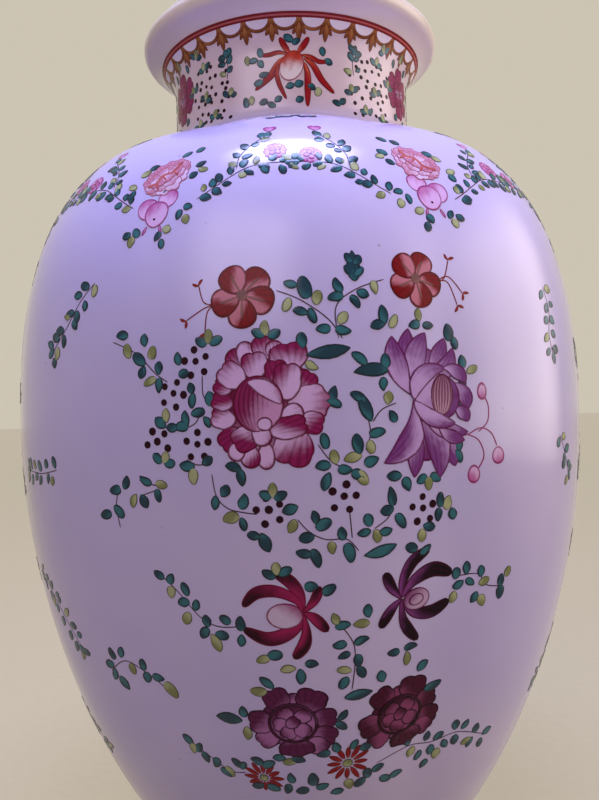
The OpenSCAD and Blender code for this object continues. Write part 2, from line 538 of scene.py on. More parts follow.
def make_jar():
    """The six sections of the jar. The disc in its foot stays as the CAD node."""
    inner = [inside(along, FLOOR_Z) for along in np.linspace(0, FLOOR_MEETS, INSIDE_ROWS)]
    wall_piece("lower_body", BODY, np.linspace(foot_along, 0, BODY_ROWS),
               [*inner, (BASE_R, FLOOR_Z), (BASE_R, FOOT_H)], "jar", BODY_TURNS)
    inner = [inside(along) for along in np.linspace(neck_along, 0, INSIDE_ROWS)]
    wall_piece("upper_body", BODY, np.linspace(0, neck_along, BODY_ROWS),
               [(BORE_R, SHOULDER_Z), (BORE_R, SHOULDER_Z - WALL), *inner], "jar", BODY_TURNS)
    wall_piece("neck", NECK, np.linspace(NECK.along[0], seam_along, NECK_ROWS),
               [(BORE_R, LIP_SEAM_Z), (BORE_R, SHOULDER_Z)], "jar")
    mouth = arc((BORE_R + MOUTH_ROUND, LIP_Z - MOUTH_ROUND), MOUTH_ROUND, 90, 180, MOUTH_STEPS)
    wall_piece("lip", NECK, np.linspace(seam_along, NECK.along[-1], LIP_ROWS),
               [*mouth, (BORE_R, LIP_SEAM_Z)], "jar")
    foot = [(FOOT_R - FOOT_W, FOOT_H), *foot_edge(*INNER_EDGE, -90), *foot_edge(*OUTER_EDGE, 0),
            (FOOT_R - FOOT_DRAWN_IN, FOOT_H / 2), (FOOT_R, FOOT_H)]
    turned_piece("foot_ring_bare", "foot_ring", foot, FOOT, "jar", "biscuit")
    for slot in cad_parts["base_disc"].material_slots:
        slot.material = GLAZE


def knob_ring(radius, z, petals):
    """Ring of the knob, drawn in between the petals of the bud by a share of its radius."""

    def ring(azimuth):
        fold = 1 - petals * np.abs(np.cos(KNOB_PETALS / 2 * azimuth)) ** 6
        return circle(radius * fold, DOME_TOP + z, azimuth)

    return ring


def make_knob():
    """A bud of folded petals on a waisted stem."""
    size = np.array([high("cover_knob", 0), KNOB_H])
    joint = BUD_START * size
    stem = bezier([(KNOB_SEAT_R, 0), (KNOB_STEM_R, 0), (KNOB_STEM_R, STEM_HANDLE * KNOB_H), joint],
                  np.linspace(0, 1, STEM_ROWS))
    bud = bezier([joint, *(BUD_HANDLES * size), (KNOB_TIP_R, KNOB_H)], np.linspace(0, 1, BUD_ROWS))[1:]
    rings = [knob_ring(r, z, 0) for r, z in [(AXIS_R, 0), *stem]]
    for i, (r, z) in enumerate(bud):
        rings.append(knob_ring(r, z, KNOB_FOLD * math.sin(math.pi * i / len(bud)) ** 0.7))
    rings.append(knob_ring(AXIS_R, KNOB_H, 0))
    turned_piece("cover_knob_gilt", "cover_knob", rings, GILT, "cover", "gilding")


def make_cover():
    """The brim, spigot, dome and knob."""
    bore = SPIGOT_R - SPIGOT_W
    wall_piece("cover_brim", BRIM, BRIM.along, [(bore, BRIM_TOP), (bore, LIP_Z)], "cover")
    bottom = LIP_Z - SPIGOT_H
    edge = arc((SPIGOT_R - SPIGOT_ROUND, bottom + SPIGOT_ROUND), SPIGOT_ROUND, -90, 0, EDGE_STEPS)
    spigot = [(bore, LIP_Z), (bore, bottom), *edge, (SPIGOT_R, LIP_Z)]
    turned_piece("cover_spigot_bare", "cover_spigot", spigot, BISCUIT_BARE, "cover", "biscuit")
    lid_top = DOME_TOP - DOME_T
    hollow = bezier(dome_curve(DOME_R - DOME_T, lid_top), np.linspace(1, 0, HOLLOW_ROWS))
    wall_piece("cover_dome", DOME, [*DOME.along[::DOME_SKIP], DOME.along[-1]],
               [(AXIS_R, DOME_TOP), (AXIS_R, lid_top), *hollow], "cover")
    make_knob()


make_jar()
make_cover()


# Enamel painting


# Heights over the wall in millimetres: a stroke's hidden skirt, its edge, each layer, and its crown
SKIRT = -0.05
LOW = 0.015
LAYER = 0.012
RISE = 0.03
LEAF_RISE = 0.1

# Least half-width of a stroke's ends
THIN = 0.03

# Sections of a stroke and of a thread: shares of the half-width and of the crown
STROKE = ((-1, 0.0), (-1, 0.55), (-0.6, 0.9), (0, 1.0), (0.6, 0.9), (1, 0.55), (1, 0.0))
THREAD = ((-1, 0.0), (-1, 0.4), (0, 0.8), (1, 0.4), (1, 0.0))

# Rings of a petal: shares of its outline and of the crown, the first being its skirt
PETAL_RINGS = ((1, None), (1, 0.55), (0.86, 0.85), (0.62, 0.95), (0.32, 0.98))

# Lobes of a petal's edge: where along it they start, their run to full depth, and how round they are
LOBES_FROM = -0.2
LOBES_RUN = 0.5
LOBE_ROUND = 0.7

# Room at the ends of a petal, where stripes that run together would meet
POLE_ROOM = 0.02

# Where the petals of a flower start, as a share of its radius
FLOWER_HEART = 0.08

# Leaves: their sizes, the ranges of their shapes, and the headings in a trefoil
LEAF_LENGTH = 4.5
LEAF_WIDTH = 2.6
LEAF_FILL = 0.84
LONG_LEAF = 8
SMALL_LEAF = 3.8
LEAF_SLIM = (0.86, 1.14)
LEAF_BLUNT = (0.42, 0.7)
LONG_BLUNT = 0.75
LEAF_REACH = (0.9, 1.12)
LEAF_BOW = 0.13
LEAF_SKEW = (0.7, 1.15)
LEAF_LAYERS = (1, 3)
TREFOIL = (("lime", 0), ("teal", 62), ("teal", -62))
BERRY_R = 1.0
BERRY_RING = ((0.2, 3.2), (-3.0, 1.0), (0.1, 0.2), (3.1, 0.8), (-1.9, -3.0), (2.0, -2.9))
brushes = {}


def towards(heading):
    """Unit step towards a heading in degrees."""
    angle = math.radians(heading)
    return np.array([math.cos(angle), math.sin(angle)])


class Spot:
    """A place on a wall with its own axes, x to the right and y up, in millimetres."""

    def __init__(self, region, skin, azimuth, along, turn=0.0, size=1.0):
        self.region, self.skin, self.along = region, skin, along
        self.size = np.broadcast_to(size, 2)
        self.azimuth = math.radians(azimuth)
        self.turn = math.radians(turn)

    def on(self, points):
        """Azimuths and lengths along the wall of points in the spot's own axes."""
        x, y = (np.asarray(points, float) * self.size).T
        along = self.along + x * math.sin(self.turn) + y * math.cos(self.turn)
        aside = x * math.cos(self.turn) - y * math.sin(self.turn)
        return self.azimuth + aside / self.skin.radius(along), along


def on_wall(region, skin, front, spread=1.0):
    """Function that gives the spots of a region by their degrees from a front."""

    def at(azimuth, along, turn=0.0, size=1.0):
        return Spot(region, skin, front + spread * azimuth, along, turn, size)

    return at


class Brush:
    """Gathers the closed patches of one enamel in one region into one mesh."""

    def __init__(self):
        self.points, self.faces, self.paint, self.tint = [], [], [], []
        self.count = 0

    def add(self, points, faces, paint, tint):
        self.points.append(points)
        self.paint.append(paint)
        self.tint.append(np.tile(tint, (len(points), 1)))
        self.faces += [[corner + self.count for corner in face] for face in faces]
        self.count += len(points)

    def mesh(self, name):
        mesh = bpy.data.meshes.new(name)
        mesh.from_pydata(np.concatenate(self.points).tolist(), [], self.faces)
        for key, values in (("paint", self.paint), ("tint", self.tint)):
            layer = mesh.attributes.new(key, "FLOAT_VECTOR", "POINT")
            layer.data.foreach_set("vector", np.concatenate(values).ravel())
        work = bmesh.new()
        work.from_mesh(mesh)
        bmesh.ops.recalc_face_normals(work, faces=work.faces)
        work.to_mesh(mesh)
        work.free()
        mesh.shade_smooth()
        mesh.set_sharp_from_angle(angle=math.radians(SHARP_ANGLE))
        return mesh


def lifted(layer, rise, peak=RISE):
    """Height over the wall at a share of the crown of a stroke in its layer."""
    return LOW + LAYER * layer + peak * rise


def lay(enamel, spot, rings, lifts, paint, tint, centre=None):
    """Add a patch through rings of points in the spot's axes, each ring with its own lift."""
    count = len(rings[0])
    points = []
    for ring, lift in zip(rings, lifts):
        azimuth, along = spot.on(ring)
        points.append(spot.skin.place(azimuth, along, np.asarray(lift)))
    faces = ring_faces(len(rings), count, closed=False)
    last = (len(rings) - 1) * count
    faces.append(tuple(range(count)))
    if centre is None:
        faces.append(tuple(range(last, last + count)))
    else:
        azimuth, along = spot.on([centre[0]])
        points.append(spot.skin.place(azimuth, along, centre[1]))
        tip = last + count
        faces += [(last + i, last + (i + 1) % count, tip) for i in range(count)]
    brush = brushes.setdefault((spot.region, enamel), Brush())
    brush.add(np.concatenate(points), faces, np.concatenate(paint), tint)


def stroke(enamel, spot, spine, half, layer=1, shade=0.5, stripes=0.0, section=STROKE, upright=False,
           peak=RISE):
    """A raised stroke along a spine, with its half-width at each point, across it or upright."""
    spine = np.array(spine, float)
    way = np.gradient(spine, axis=0)
    way /= np.linalg.norm(way, axis=1)[:, None] + 1e-9
    aside = np.stack([way[:, 1], -way[:, 0]], 1)
    if upright:
        aside[:] = (0, -1)
    steps = np.concatenate([[0], np.cumsum(np.hypot(*np.diff(spine, axis=0).T))])
    rings, lifts, paint = [], [], []
    for point, out, width, share in zip(spine, aside, half, steps / steps[-1]):
        rings.append([point + out * across * width for across, _ in section])
        lifts.append([lifted(layer, rise, peak) if rise else SKIRT for _, rise in section])
        paint.append([(across, share, width * (1 - abs(across))) for across, _ in section])
    lay(enamel, spot, rings, lifts, paint, (shade, rng.random(), stripes))


def pressed(share, width, blunt, skew, least=THIN):
    """Half-widths of a brush that is pressed and lifted again, at shares of its way."""
    return width / 2 * np.maximum(np.sin(math.pi * share**skew), 0) ** blunt + least


def dab(enamel, spot, base, tip, width, bow=0.0, blunt=0.6, skew=1.0, layer=1, shade=0.5, stripes=0.0,
        steps=9, peak=RISE):
    """A stroke from base to tip, widest between them, bowed to the left by a share of its length."""
    base, tip = np.array(base, float), np.array(tip, float)
    share = (1 - np.cos(np.linspace(0, math.pi, steps))) / 2
    reach = tip - base
    left = np.array([-reach[1], reach[0]])
    spine = base + share[:, None] * reach + (4 * share * (1 - share) * bow)[:, None] * left
    stroke(enamel, spot, spine, pressed(share, width, blunt, skew), layer, shade, stripes, peak=peak)


def spline(points, steps=6):
    """Points of a smooth curve through the given ones."""
    p = np.array([points[0], *points, points[-1]], float)
    t = np.linspace(0, 1, steps, endpoint=False)[:, None]
    runs = []
    for a, b, c, d in zip(p, p[1:], p[2:], p[3:]):
        runs.append(b + 0.5 * t * (c - a + t * (2 * a - 5 * b + 4 * c - d + t * (3 * (b - c) + d - a))))
    return np.concatenate(runs + [p[-1:]])


def line(enamel, spot, points, width, layer=1, section=THREAD):
    """A thin line of even width that curves through the points."""
    spine = spline(points)
    half = np.full(len(spine), width / 2)
    half[[0, -1]] *= 0.3
    stroke(enamel, spot, spine, half, layer, section=section)


def ribbon(enamel, spot, points, width, layer=1, shade=0.6, skew=1.6, stripes=5.0):
    """A curved strap, narrow where it starts and blunt where it ends."""
    spine = spline(points, 7)
    half = pressed(np.linspace(0, 1, len(spine)), width, 0.5, skew, 0.05)
    stroke(enamel, spot, spine, half, layer, shade, stripes)


def half_moon(enamel, spot, width, depth, layer, shade=0.5):
    """A half disc that hangs from the spot."""
    x = -np.cos(np.linspace(0, math.pi, 15))
    half = depth / 2 * np.sqrt(np.maximum(1 - x**2, 0)) + THIN
    stroke(enamel, spot, np.stack([x * width / 2, -half], 1), half, layer, shade, upright=True)


def petal(enamel, spot, base, tip, width, lobes=1, notch=0.3, egg=0.2, layer=1, shade=0.5, stripes=0.0,
          corners=26, meridians=False):
    """A rounded petal from base to tip, fuller towards the tip, with a lobed outer edge."""
    base, tip = np.array(base, float), np.array(tip, float)
    way = (tip - base) / 2
    middle = (tip + base) / 2
    aside = np.array([way[1], -way[0]]) / np.linalg.norm(way) * width / 2
    turn = np.linspace(0, 2 * math.pi, corners, endpoint=False)
    u, v = np.cos(turn), np.sin(turn) * (1 + egg * np.cos(turn))
    outer = np.clip((u - LOBES_FROM) / LOBES_RUN, 0, 1)
    fold = np.abs(np.sin((turn / math.pi + 0.5) * lobes * math.pi)) ** LOBE_ROUND
    size = 1 - (notch if lobes > 1 else 0) * outer * (1 - fold)
    u, v = u * size, v * size
    least = min(width, 2 * np.linalg.norm(way)) / 2
    rings, lifts, paint = [], [], []
    for share, rise in PETAL_RINGS:
        rings.append(middle + share * (u[:, None] * way + v[:, None] * aside))
        lifts.append(SKIRT if rise is None else lifted(layer, rise))
        across = share * v
        if meridians:
            across = across / np.sqrt(1 + POLE_ROOM - (share * u) ** 2)
        paint.append(np.stack([across, 0.5 + 0.5 * share * u, np.full(corners, (1 - share) * least)], 1))
    paint.append([(0, 0.5, least)])
    tint = (shade, rng.random(), stripes)
    lay(enamel, spot, rings, lifts, paint, tint, centre=(middle, lifted(layer, 1)))


def petals(enamel, spot, rows, layer, stripes, corners=26):
    """Petals from rows of base, tip, width, lobes and shade, each one layer above the last."""
    for i, (base, tip, width, lobes, shade) in enumerate(rows):
        petal(enamel, spot, base, tip, width, lobes, notch=0.2, egg=0.15, layer=layer + i, shade=shade,
              stripes=stripes, corners=corners)


def disc(enamel, spot, half, width, layer, shade, stripes, corners):
    """An upright oval about the spot."""
    petal(enamel, spot, (0, -half), (0, half), width, egg=0, layer=layer, shade=shade, stripes=stripes,
          corners=corners)


def dot(enamel, spot, place, radius, layer=1, shade=0.5):
    """A round drop of enamel."""
    x, y = place
    petal(enamel, spot, (x, y - radius), (x, y + radius), 2 * radius, egg=0, layer=layer, shade=shade,
          corners=12)


def leaf(enamel, spot, length=LEAF_LENGTH):
    """A leaf about the spot along its x axis, more or less bowed, pointed and egg-shaped."""
    slim = LEAF_WIDTH * min(1.4, (length / LEAF_LENGTH) ** 0.6) * rng.uniform(*LEAF_SLIM)
    blunt = rng.uniform(*LEAF_BLUNT) if length < LONG_LEAF else LONG_BLUNT
    reach = LEAF_FILL * rng.uniform(*LEAF_REACH) * length / 2
    bow = rng.uniform(-LEAF_BOW, LEAF_BOW) * min(1, LEAF_LENGTH / length)
    skew = rng.uniform(*LEAF_SKEW)
    dab(enamel, spot, (-reach, 0), (reach, 0), slim, bow, blunt, skew, rng.randint(*LEAF_LAYERS),
        rng.random(), peak=LEAF_RISE)


def flower(enamel, spot, radius, headings, width, layer=2, shade=0.5, stripes=5.0, **shape):
    """Petals of a flower from its middle, one towards each heading."""
    for i, heading in enumerate(headings):
        way = radius * towards(heading)
        petal(enamel, spot, FLOWER_HEART * way, way, width, layer=layer + i, shade=shade,
              stripes=stripes, **shape)


def berries(spot, places, size=1.0):
    """Dark dots at places about the spot."""
    for place in places:
        dot("berry", spot, place, BERRY_R * size * rng.uniform(0.9, 1.1))


# Brush marks in the enamel, the spread and fineness of its veins, and the solid share of its outline
WASH_SCALE = 420
WASH_SHARE = 0.45
VEIN_ROOT = 0.45
VEIN_FINE = 4.0
RIM_CORE = 0.3


def enamel_material(name, pale, deep, edge, veins=0.0, ends=(0.15, 0.85), rim=0.4, sided=0.0, lean=0.8,
                    fanned=True, gloss=0.15):
    """Enamel in strokes: pale at the base, deep at the tip and to one side, veined and outlined."""
    shader = Shader(name, Coat_Weight=gloss, Coat_Roughness=0.06, Specular_IOR_Level=0.05)
    paint = shader.attribute("paint")
    tint = shader.attribute("tint")
    wash = shader.math("SUBTRACT", shader.noise(WASH_SCALE, 2, 0.5), 0.5)
    depth = shader.math("ADD", paint["Y"], shader.math("MULTIPLY", wash, WASH_SHARE))
    depth = shader.math("ADD", depth, shader.math("SUBTRACT", tint["X"], 0.5))
    side = shader.math("MULTIPLY", shader.math("SUBTRACT", tint["Y"], 0.5), lean)
    side = shader.math("ADD", side, sided)
    depth = shader.math("ADD", depth, shader.math("MULTIPLY", paint["X"], side))
    tone = shader.mix(shader.ramp(depth, *ends), pale, deep)
    if veins:
        fan = paint["X"]
        if fanned:
            fan = shader.math("DIVIDE", fan, shader.math("ADD", paint["Y"], VEIN_ROOT))
        wave = shader.math("COSINE", shader.math("MULTIPLY", fan, tint["Z"]))
        vein = shader.math("POWER", shader.math("ABSOLUTE", wave), VEIN_FINE)
        vein = shader.math("MULTIPLY", vein, shader.ramp(depth, 0.1, 0.9, 0, veins))
        tone = shader.mix(vein, tone, edge)
    ragged = shader.math("ADD", paint["Z"], shader.math("MULTIPLY", wash, rim))
    tone = shader.mix(shader.ramp(ragged, rim, RIM_CORE * rim, 0, 0.95), tone, edge)
    shader.set(Base_Color=tone, Roughness=shader.ramp(wash, -0.2, 0.2, 0.2, 0.4),
               Normal=shader.bump(wash, 0.00003, 0.15))
    return shader.material


# Enamels by slot: their colours where a stroke is pale, where it is deep and at its edge, then how they
# are laid
ENAMELS = {
    "green_enamel": {
        "teal": ((44, 112, 120), (14, 60, 76), (6, 20, 34), dict(rim=0.6, sided=0.3, gloss=0.5)),
        "lime": ((178, 184, 134), (134, 140, 88), (66, 76, 50), dict(sided=0.25, gloss=0.4)),
        "stem": ((96, 66, 80), (68, 48, 62), (58, 40, 52), dict(rim=0.05)),
    },
    "rose_enamel": {
        "rose": ((230, 190, 236), (150, 28, 94), (104, 8, 50),
                 dict(veins=0.6, ends=(0.2, 0.95), rim=0.6, lean=1.2)),
        "cup": ((214, 156, 202), (146, 34, 92), (98, 8, 46),
                dict(veins=0.85, ends=(0.1, 1.1), rim=0.6, sided=-0.75, lean=0.0, fanned=False)),
        "heart": ((208, 160, 184), (140, 78, 116), (92, 20, 62),
                  dict(veins=1.0, ends=(0.3, 1.8), rim=0.5, fanned=False)),
        "lilac": ((206, 168, 222), (130, 66, 138), (100, 16, 76), dict(veins=0.45, rim=0.6, lean=1.0)),
        "wine": ((168, 36, 92), (36, 2, 18), (112, 12, 52),
                 dict(veins=0.3, ends=(0.3, 1.0), rim=0.5, lean=1.0)),
        "plum": ((140, 66, 136), (22, 0, 16), (70, 6, 40),
                 dict(veins=0.3, ends=(0.1, 0.75), rim=0.5, lean=1.0)),
        "bloom": ((222, 200, 226), (170, 92, 140), (128, 26, 74),
                  dict(ends=(0.4, 1.2), rim=0.5, sided=-0.5, lean=0.0)),
        "iris": ((204, 168, 200), (132, 66, 116), (92, 16, 60),
                 dict(ends=(0.2, 1.2), rim=0.5, sided=0.5, lean=0.0)),
        "purple": ((182, 118, 172), (100, 28, 76), (52, 4, 32), dict(veins=0.35, rim=0.6, lean=1.0)),
        "damson": ((150, 72, 114), (80, 10, 46), (32, 0, 16), dict(veins=0.35, rim=0.6, lean=1.0)),
        "pink": ((230, 186, 230), (196, 98, 166), (150, 40, 106),
                 dict(veins=0.25, ends=(0.3, 1.1), rim=0.55, gloss=0.4)),
    },
    "red_enamel": {
        "iron": ((206, 126, 140), (134, 6, 18), (92, 2, 12),
                 dict(veins=0.5, ends=(0.3, 0.8), rim=0.8, sided=-0.9, lean=0.4)),
        "rib": ((156, 108, 98), (128, 86, 80), (110, 60, 60), dict(rim=0.1)),
        "coral": ((230, 202, 230), (206, 138, 166), (174, 88, 108),
                  dict(veins=0.4, rim=0.35, gloss=0.4)),
        "bow": ((228, 106, 74), (162, 24, 32), (104, 10, 24), dict(veins=0.25, ends=(0.05, 0.8))),
        "bulb": ((250, 236, 232), (200, 62, 42), (150, 26, 34), dict(veins=0.3, ends=(0.3, 0.9))),
        "mouth": ((206, 112, 104), (188, 84, 80), (170, 70, 74), dict(rim=0.2)),
        "berry": ((52, 4, 28), (36, 2, 20), (28, 2, 16), dict(rim=0.2)),
        "line": ((158, 46, 40), (134, 30, 30), (112, 20, 24), dict(rim=0.2)),
    },
    "gilding": {"gilt": ((184, 118, 62), (132, 72, 40), (94, 42, 26), dict(rim=0.3))},
    "glaze": {"white": ((252, 242, 240), (246, 232, 236), (208, 176, 180), dict(rim=0.2))},
}


def make_enamels():
    """Material and slot of each enamel by name."""
    made = {}
    for slot, group in ENAMELS.items():
        for name, (*colours, laid) in group.items():
            colours = [srgb(*colour) for colour in colours]
            made[name] = (enamel_material(f"{name}_enamel", *colours, **laid), slot)
    return made


def leaves(at, teal=(), lime=(), usual=LEAF_LENGTH):
    """Leaves at their places: azimuth, length along the wall, heading and, for odd ones, length."""
    for enamel, places in (("teal", teal), ("lime", lime)):
        for azimuth, along, heading, *length in places:
            leaf(enamel, at(azimuth, along, heading), *(length or [usual]))


def trefoils(at, places, size=1.0):
    """Two dark leaves with a light one between them, from a joint towards a heading."""
    for azimuth, along, heading in places:
        spot = at(azimuth, along, heading, size)
        for enamel, angle in TREFOIL:
            way = towards(angle)
            reach = LEAF_FILL * LEAF_LENGTH * rng.uniform(0.9, 1.1)
            dab(enamel, spot, 0.5 * way, (reach + 0.3) * way, LEAF_WIDTH, rng.uniform(-0.12, 0.12), 0.5,
                rng.uniform(0.75, 1.05), rng.randint(*LEAF_LAYERS), rng.random(), peak=LEAF_RISE)


def stems(at, *runs, width=0.32):
    """Stems through places given by azimuth and length along the wall."""
    for run in runs:
        home = at(*run[0])
        points = []
        for azimuth, along in run:
            aside = (at(azimuth, along).azimuth - home.azimuth) * home.skin.radius(along)
            points.append((aside, along - run[0][1]))
        line("stem", home, points, width, 0)


def mirrored(way, places):
    """Places on one side of a front, or with a way of -1 on the other."""
    return [(way * azimuth, *rest) for azimuth, *rest in places]


def foliage(at, runs, teal, lime, joints=()):
    """Part of a spray: its stems, its dark and light leaves, and the trefoils at its joints."""
    stems(at, *runs)
    leaves(at, teal, lime)
    trefoils(at, joints)


def peony(spot):
    """Big rose peony: lobed outer petals round a striped cup."""
    # base, tip, width, lobes, shade
    outer = (
        ((-5.3, 7.6), (-9.0, 13.6), 5.8, 1, 0.6), ((-4.2, 8.4), (-5.8, 15.6), 5.0, 1, 0.02),
        ((-0.2, 10.6), (-1.8, 16.8), 5.6, 1, 0.62), ((2.2, 10.4), (1.4, 15.6), 4.4, 1, 0.3),
        ((5.6, 7.6), (4.6, 15.2), 10.0, 2, 0.6), ((-2.6, 5.8), (-3.5, 13.2), 7.0, 2, 0.4),
        ((6.6, 1.6), (10.6, 7.8), 6.2, 2, 0.72), ((4.4, -0.6), (15.2, 0.4), 9.4, 3, 0.28),
        ((7.0, -4.4), (13.4, -5.8), 6.2, 2, 0.7), ((7.4, -6.6), (4.0, -16.0), 10.4, 2, 0.6),
        ((-0.8, -9.4), (-0.8, -16.6), 4.4, 1, 0.0), ((-4.2, -10.4), (-4.8, -16.2), 5.0, 1, 0.5),
        ((-6.4, -6.4), (-12.0, -11.2), 6.6, 2, 0.85), ((-7.4, -9.2), (-8.4, -14.4), 4.4, 1, 0.02),
        ((-2.4, -6.8), (-9.0, -10.6), 7.0, 2, 0.72), ((-7.8, -4.4), (-14.6, -2.8), 5.8, 2, 0.3),
        ((-8.4, -0.4), (-14.2, 1.6), 5.2, 2, 0.85), ((-8.6, 3.2), (-13.4, 5.6), 5.0, 2, 0.8),
        ((-5.6, 4.4), (-11.8, 9.6), 7.2, 2, 0.26),
    )
    inner = (
        ((2.4, 4.4), (1.8, 11.0), 6.0, 2, 0.85), ((4.2, 0.2), (5.0, 10.4), 7.4, 2, 0.36),
        ((2.8, -3.6), (8.4, -2.0), 5.2, 1, 0.1), ((0.0, -7.4), (9.6, -5.0), 6.2, 2, 0.72),
        ((-3.0, -5.0), (-0.6, -10.6), 4.8, 1, 0.05),
    )
    disc("rose", spot, 13, 22, 0, 0.9, 4.0, 40)
    petals("rose", spot, outer + inner, 1, 9.0, 30)
    top = 1 + len(outer + inner)
    petal("cup", spot, (-2.4, -7.3), (-2.4, 6.9), 12.4, egg=0, layer=top, shade=0.6, stripes=17.0,
          corners=40, meridians=True)
    dab("rose", spot, (-4.8, 5.2), (3.2, -0.4), 4.4, 0.12, 0.6, 1.0, top + 2, 0.0, 3.0, 16)
    petal("rose", spot, (-2.8, -5.2), (1.0, -5.2), 3.6, 1, egg=0, layer=top + 3, shade=-0.1, stripes=2.0)


def lotus(spot):
    """Violet lotus seen from the side: pointed petals from a joint, and a striped cup."""
    # base, tip, width, bow, shade
    blades = (
        ((-8.6, 2.0), (-9.0, 17.2), 5.4, 0.06, 0.6), ((-4.4, 6.0), (0.8, 14.8), 4.4, -0.06, 0.65),
        ((-8.0, 1.6), (-4.4, 16.2), 6.0, 0.1, 0.4), ((-8.6, -0.4), (-13.4, 15.2), 5.8, 0.08, 0.4),
        ((-7.0, 3.4), (3.0, 12.2), 5.2, -0.2, 0.45), ((-8.6, -6.0), (-8.6, -21.2), 4.8, 0.03, 0.5),
        ((-3.0, -8.0), (2.8, -19.0), 5.2, 0.08, 0.6), ((-8.6, -1.2), (-16.4, -17.0), 6.4, 0.22, 0.5),
        ((-8.6, -1.6), (-1.6, -21.8), 6.8, 0.13, 0.5), ((-6.0, -5.4), (6.6, -10.0), 4.8, -0.12, 0.4),
        ((-2.0, -8.4), (5.6, -12.2), 3.8, -0.08, 0.65), ((-0.4, 6.8), (6.2, 2.6), 4.0, 0.2, 0.55),
        ((2.4, 3.0), (6.0, -4.6), 4.4, 0.2, 0.6), ((2.4, -3.6), (6.6, -7.4), 3.8, 0.16, 0.65),
    )
    for base, tip, width in (((-8.4, 0.0), (-6.2, 14.2), 10.4), ((-7.4, -4.0), (-4.6, -17.2), 10.0)):
        petal("lilac", spot, base, tip, width, 3, 0.2, 0.3, 0, 0.45, 5.0)
    for i, (base, tip, width, bow, shade) in enumerate(blades):
        dab("lilac", spot, base, tip, width, bow, 0.78, 1.2, 1 + i, shade, 8.0, 16)
    top = 1 + len(blades)
    petal("lilac", spot, (-8.2, -1.4), (4.4, -0.2), 12.4, egg=0.05, layer=top, stripes=5.0, corners=36)
    petal("heart", spot, (-0.9, -5.6), (-0.3, 5.4), 6.4, egg=0, layer=top + 1, shade=1.0, stripes=12.0,
          meridians=True)
    dab("lilac", spot, (-8.3, -1.4), (3.0, -7.6), 4.4, -0.14, 0.6, 1.0, top + 2, 0.3, 5.0, 16)
    dab("lilac", spot, (-8.3, -1.2), (0.4, 6.8), 5.0, 0.24, 0.6, 1.0, top + 3, 0.3, 5.0, 16)
    for run in (((3.4, -11.0), (6.4, -10.8), (10.2, -9.2), (13.4, -10.6), (15.2, -14.2)),
                ((6.4, -10.8), (9.6, -12.4), (11.2, -16.6), (9.4, -20.2)),
                ((9.6, -10.2), (12.4, -7.6), (12.8, -3.6), (11.8, -1.0))):
        line("pink", spot, run, 0.36)
    for x, y, half, tall in ((15.6, -16.8, 1.9, 2.4), (8.2, -21.4, 1.8, 2.5), (11.0, 0.6, 1.4, 2.4)):
        petal("pink", spot, (x, y + tall), (x, y - tall), 2 * half, egg=0.1, layer=2, shade=0.6,
              stripes=3.0)


# Headings of the petals of the two red flowers, and starts, middles and tips of their tendrils
LEFT_RED = (45, -17, -90, 198, 120)
RIGHT_RED = (63, -16, -76, 205, 132)
LEFT_TENDRILS = (
    ((-7.6, -2), (-10.4, -1), (-11.8, 3.4)), ((-7.6, -2), (-10.4, -2.8), (-15.4, -5.6)),
    ((-7.6, -2), (-9.4, -4), (-10, -9)),
)
RIGHT_TENDRILS = (
    ((6.6, -0.4), (10.4, 1), (14.4, -3.6)), ((6.6, -0.4), (10, -0.6), (12.4, -7)),
    ((6.6, -0.4), (9, 0.6), (11, 5.8)),
)
HOOK_TURN = math.degrees(0.9)
HOOK_LENGTH = 2.0


def red_flower(spot, radius, headings, tendrils):
    """Red petals, dark to the left of a line down each, and tendrils that end in hooks."""
    flower("iron", spot, radius, headings, 0.88 * radius, 1, 0.55, 9.0, egg=0.2)
    for heading in headings:
        way = radius * towards(heading)
        dab("rib", spot, 0.1 * way, 0.72 * way, 0.6, layer=7, shade=0.4)
    dot("rib", spot, (0, 0), 1.4, 8, 0.8)
    for start, middle, tip in tendrils:
        line("line", spot, (start, middle, tip), 0.34)
        x, y = np.subtract(tip, middle)
        heading = math.degrees(math.atan2(y, x))
        for turn in (-HOOK_TURN, HOOK_TURN):
            dab("line", spot, tip, tip + HOOK_LENGTH * towards(heading + turn), 0.8, 0.1)


# Width of each strap of the two orchids, then the points that it goes through
LEFT_ORCHID = (
    (3.4, (-0.6, 4.4), (-3.2, 8.4), (-7.4, 11)),
    (3.4, (-1.8, 3.4), (-6.8, 5.8), (-12, 5.2), (-15.6, 1.4)),
    (4, (-0.8, -2.6), (-4.4, -5.8), (-9.6, -7.2), (-15.8, -4.6)),
    (3.4, (0.6, -5.4), (-0.2, -9.2), (-2.8, -12.8)), (3, (2.8, -1.6), (6.2, -5.4)),
    (2.6, (2.8, 3.2), (4.4, 7)),
)
RIGHT_ORCHID = (
    (3.4, (0.4, 4.8), (3.2, 9.8), (8.2, 12.6)), (4.2, (3.6, 4.4), (9.6, 6.8), (15.6, 5)),
    (3.8, (3.8, -4.2), (9.6, -5), (15, -2.4)), (3.2, (0.8, -5.4), (2.6, -9), (5.8, -12.6)),
    (3, (-2.8, -3), (-5.6, -7.6)), (3, (-2.8, 3.4), (-4.8, 7.6)),
)

# Base, end and width of their bulbs
LEFT_BULB = (((0, -0.7), (-9.5, -1.0), 7.0),)
RIGHT_BULB = (((0.7, -1.3), (8.6, -0.1), 6.2), ((2.2, -1.2), (6.8, -0.4), 3.4))


def orchid(spot, straps, bulbs, enamel, inner):
    """Strap petals that arch round a pale bulb."""
    for i, (width, *points) in enumerate(straps):
        ribbon(enamel, spot, ((0, 0), *points), width, 1 + i)
    for i, (base, end, width) in enumerate(bulbs):
        petal(inner, spot, end, base, width, 1, egg=0, layer=8 + i, shade=0.5)


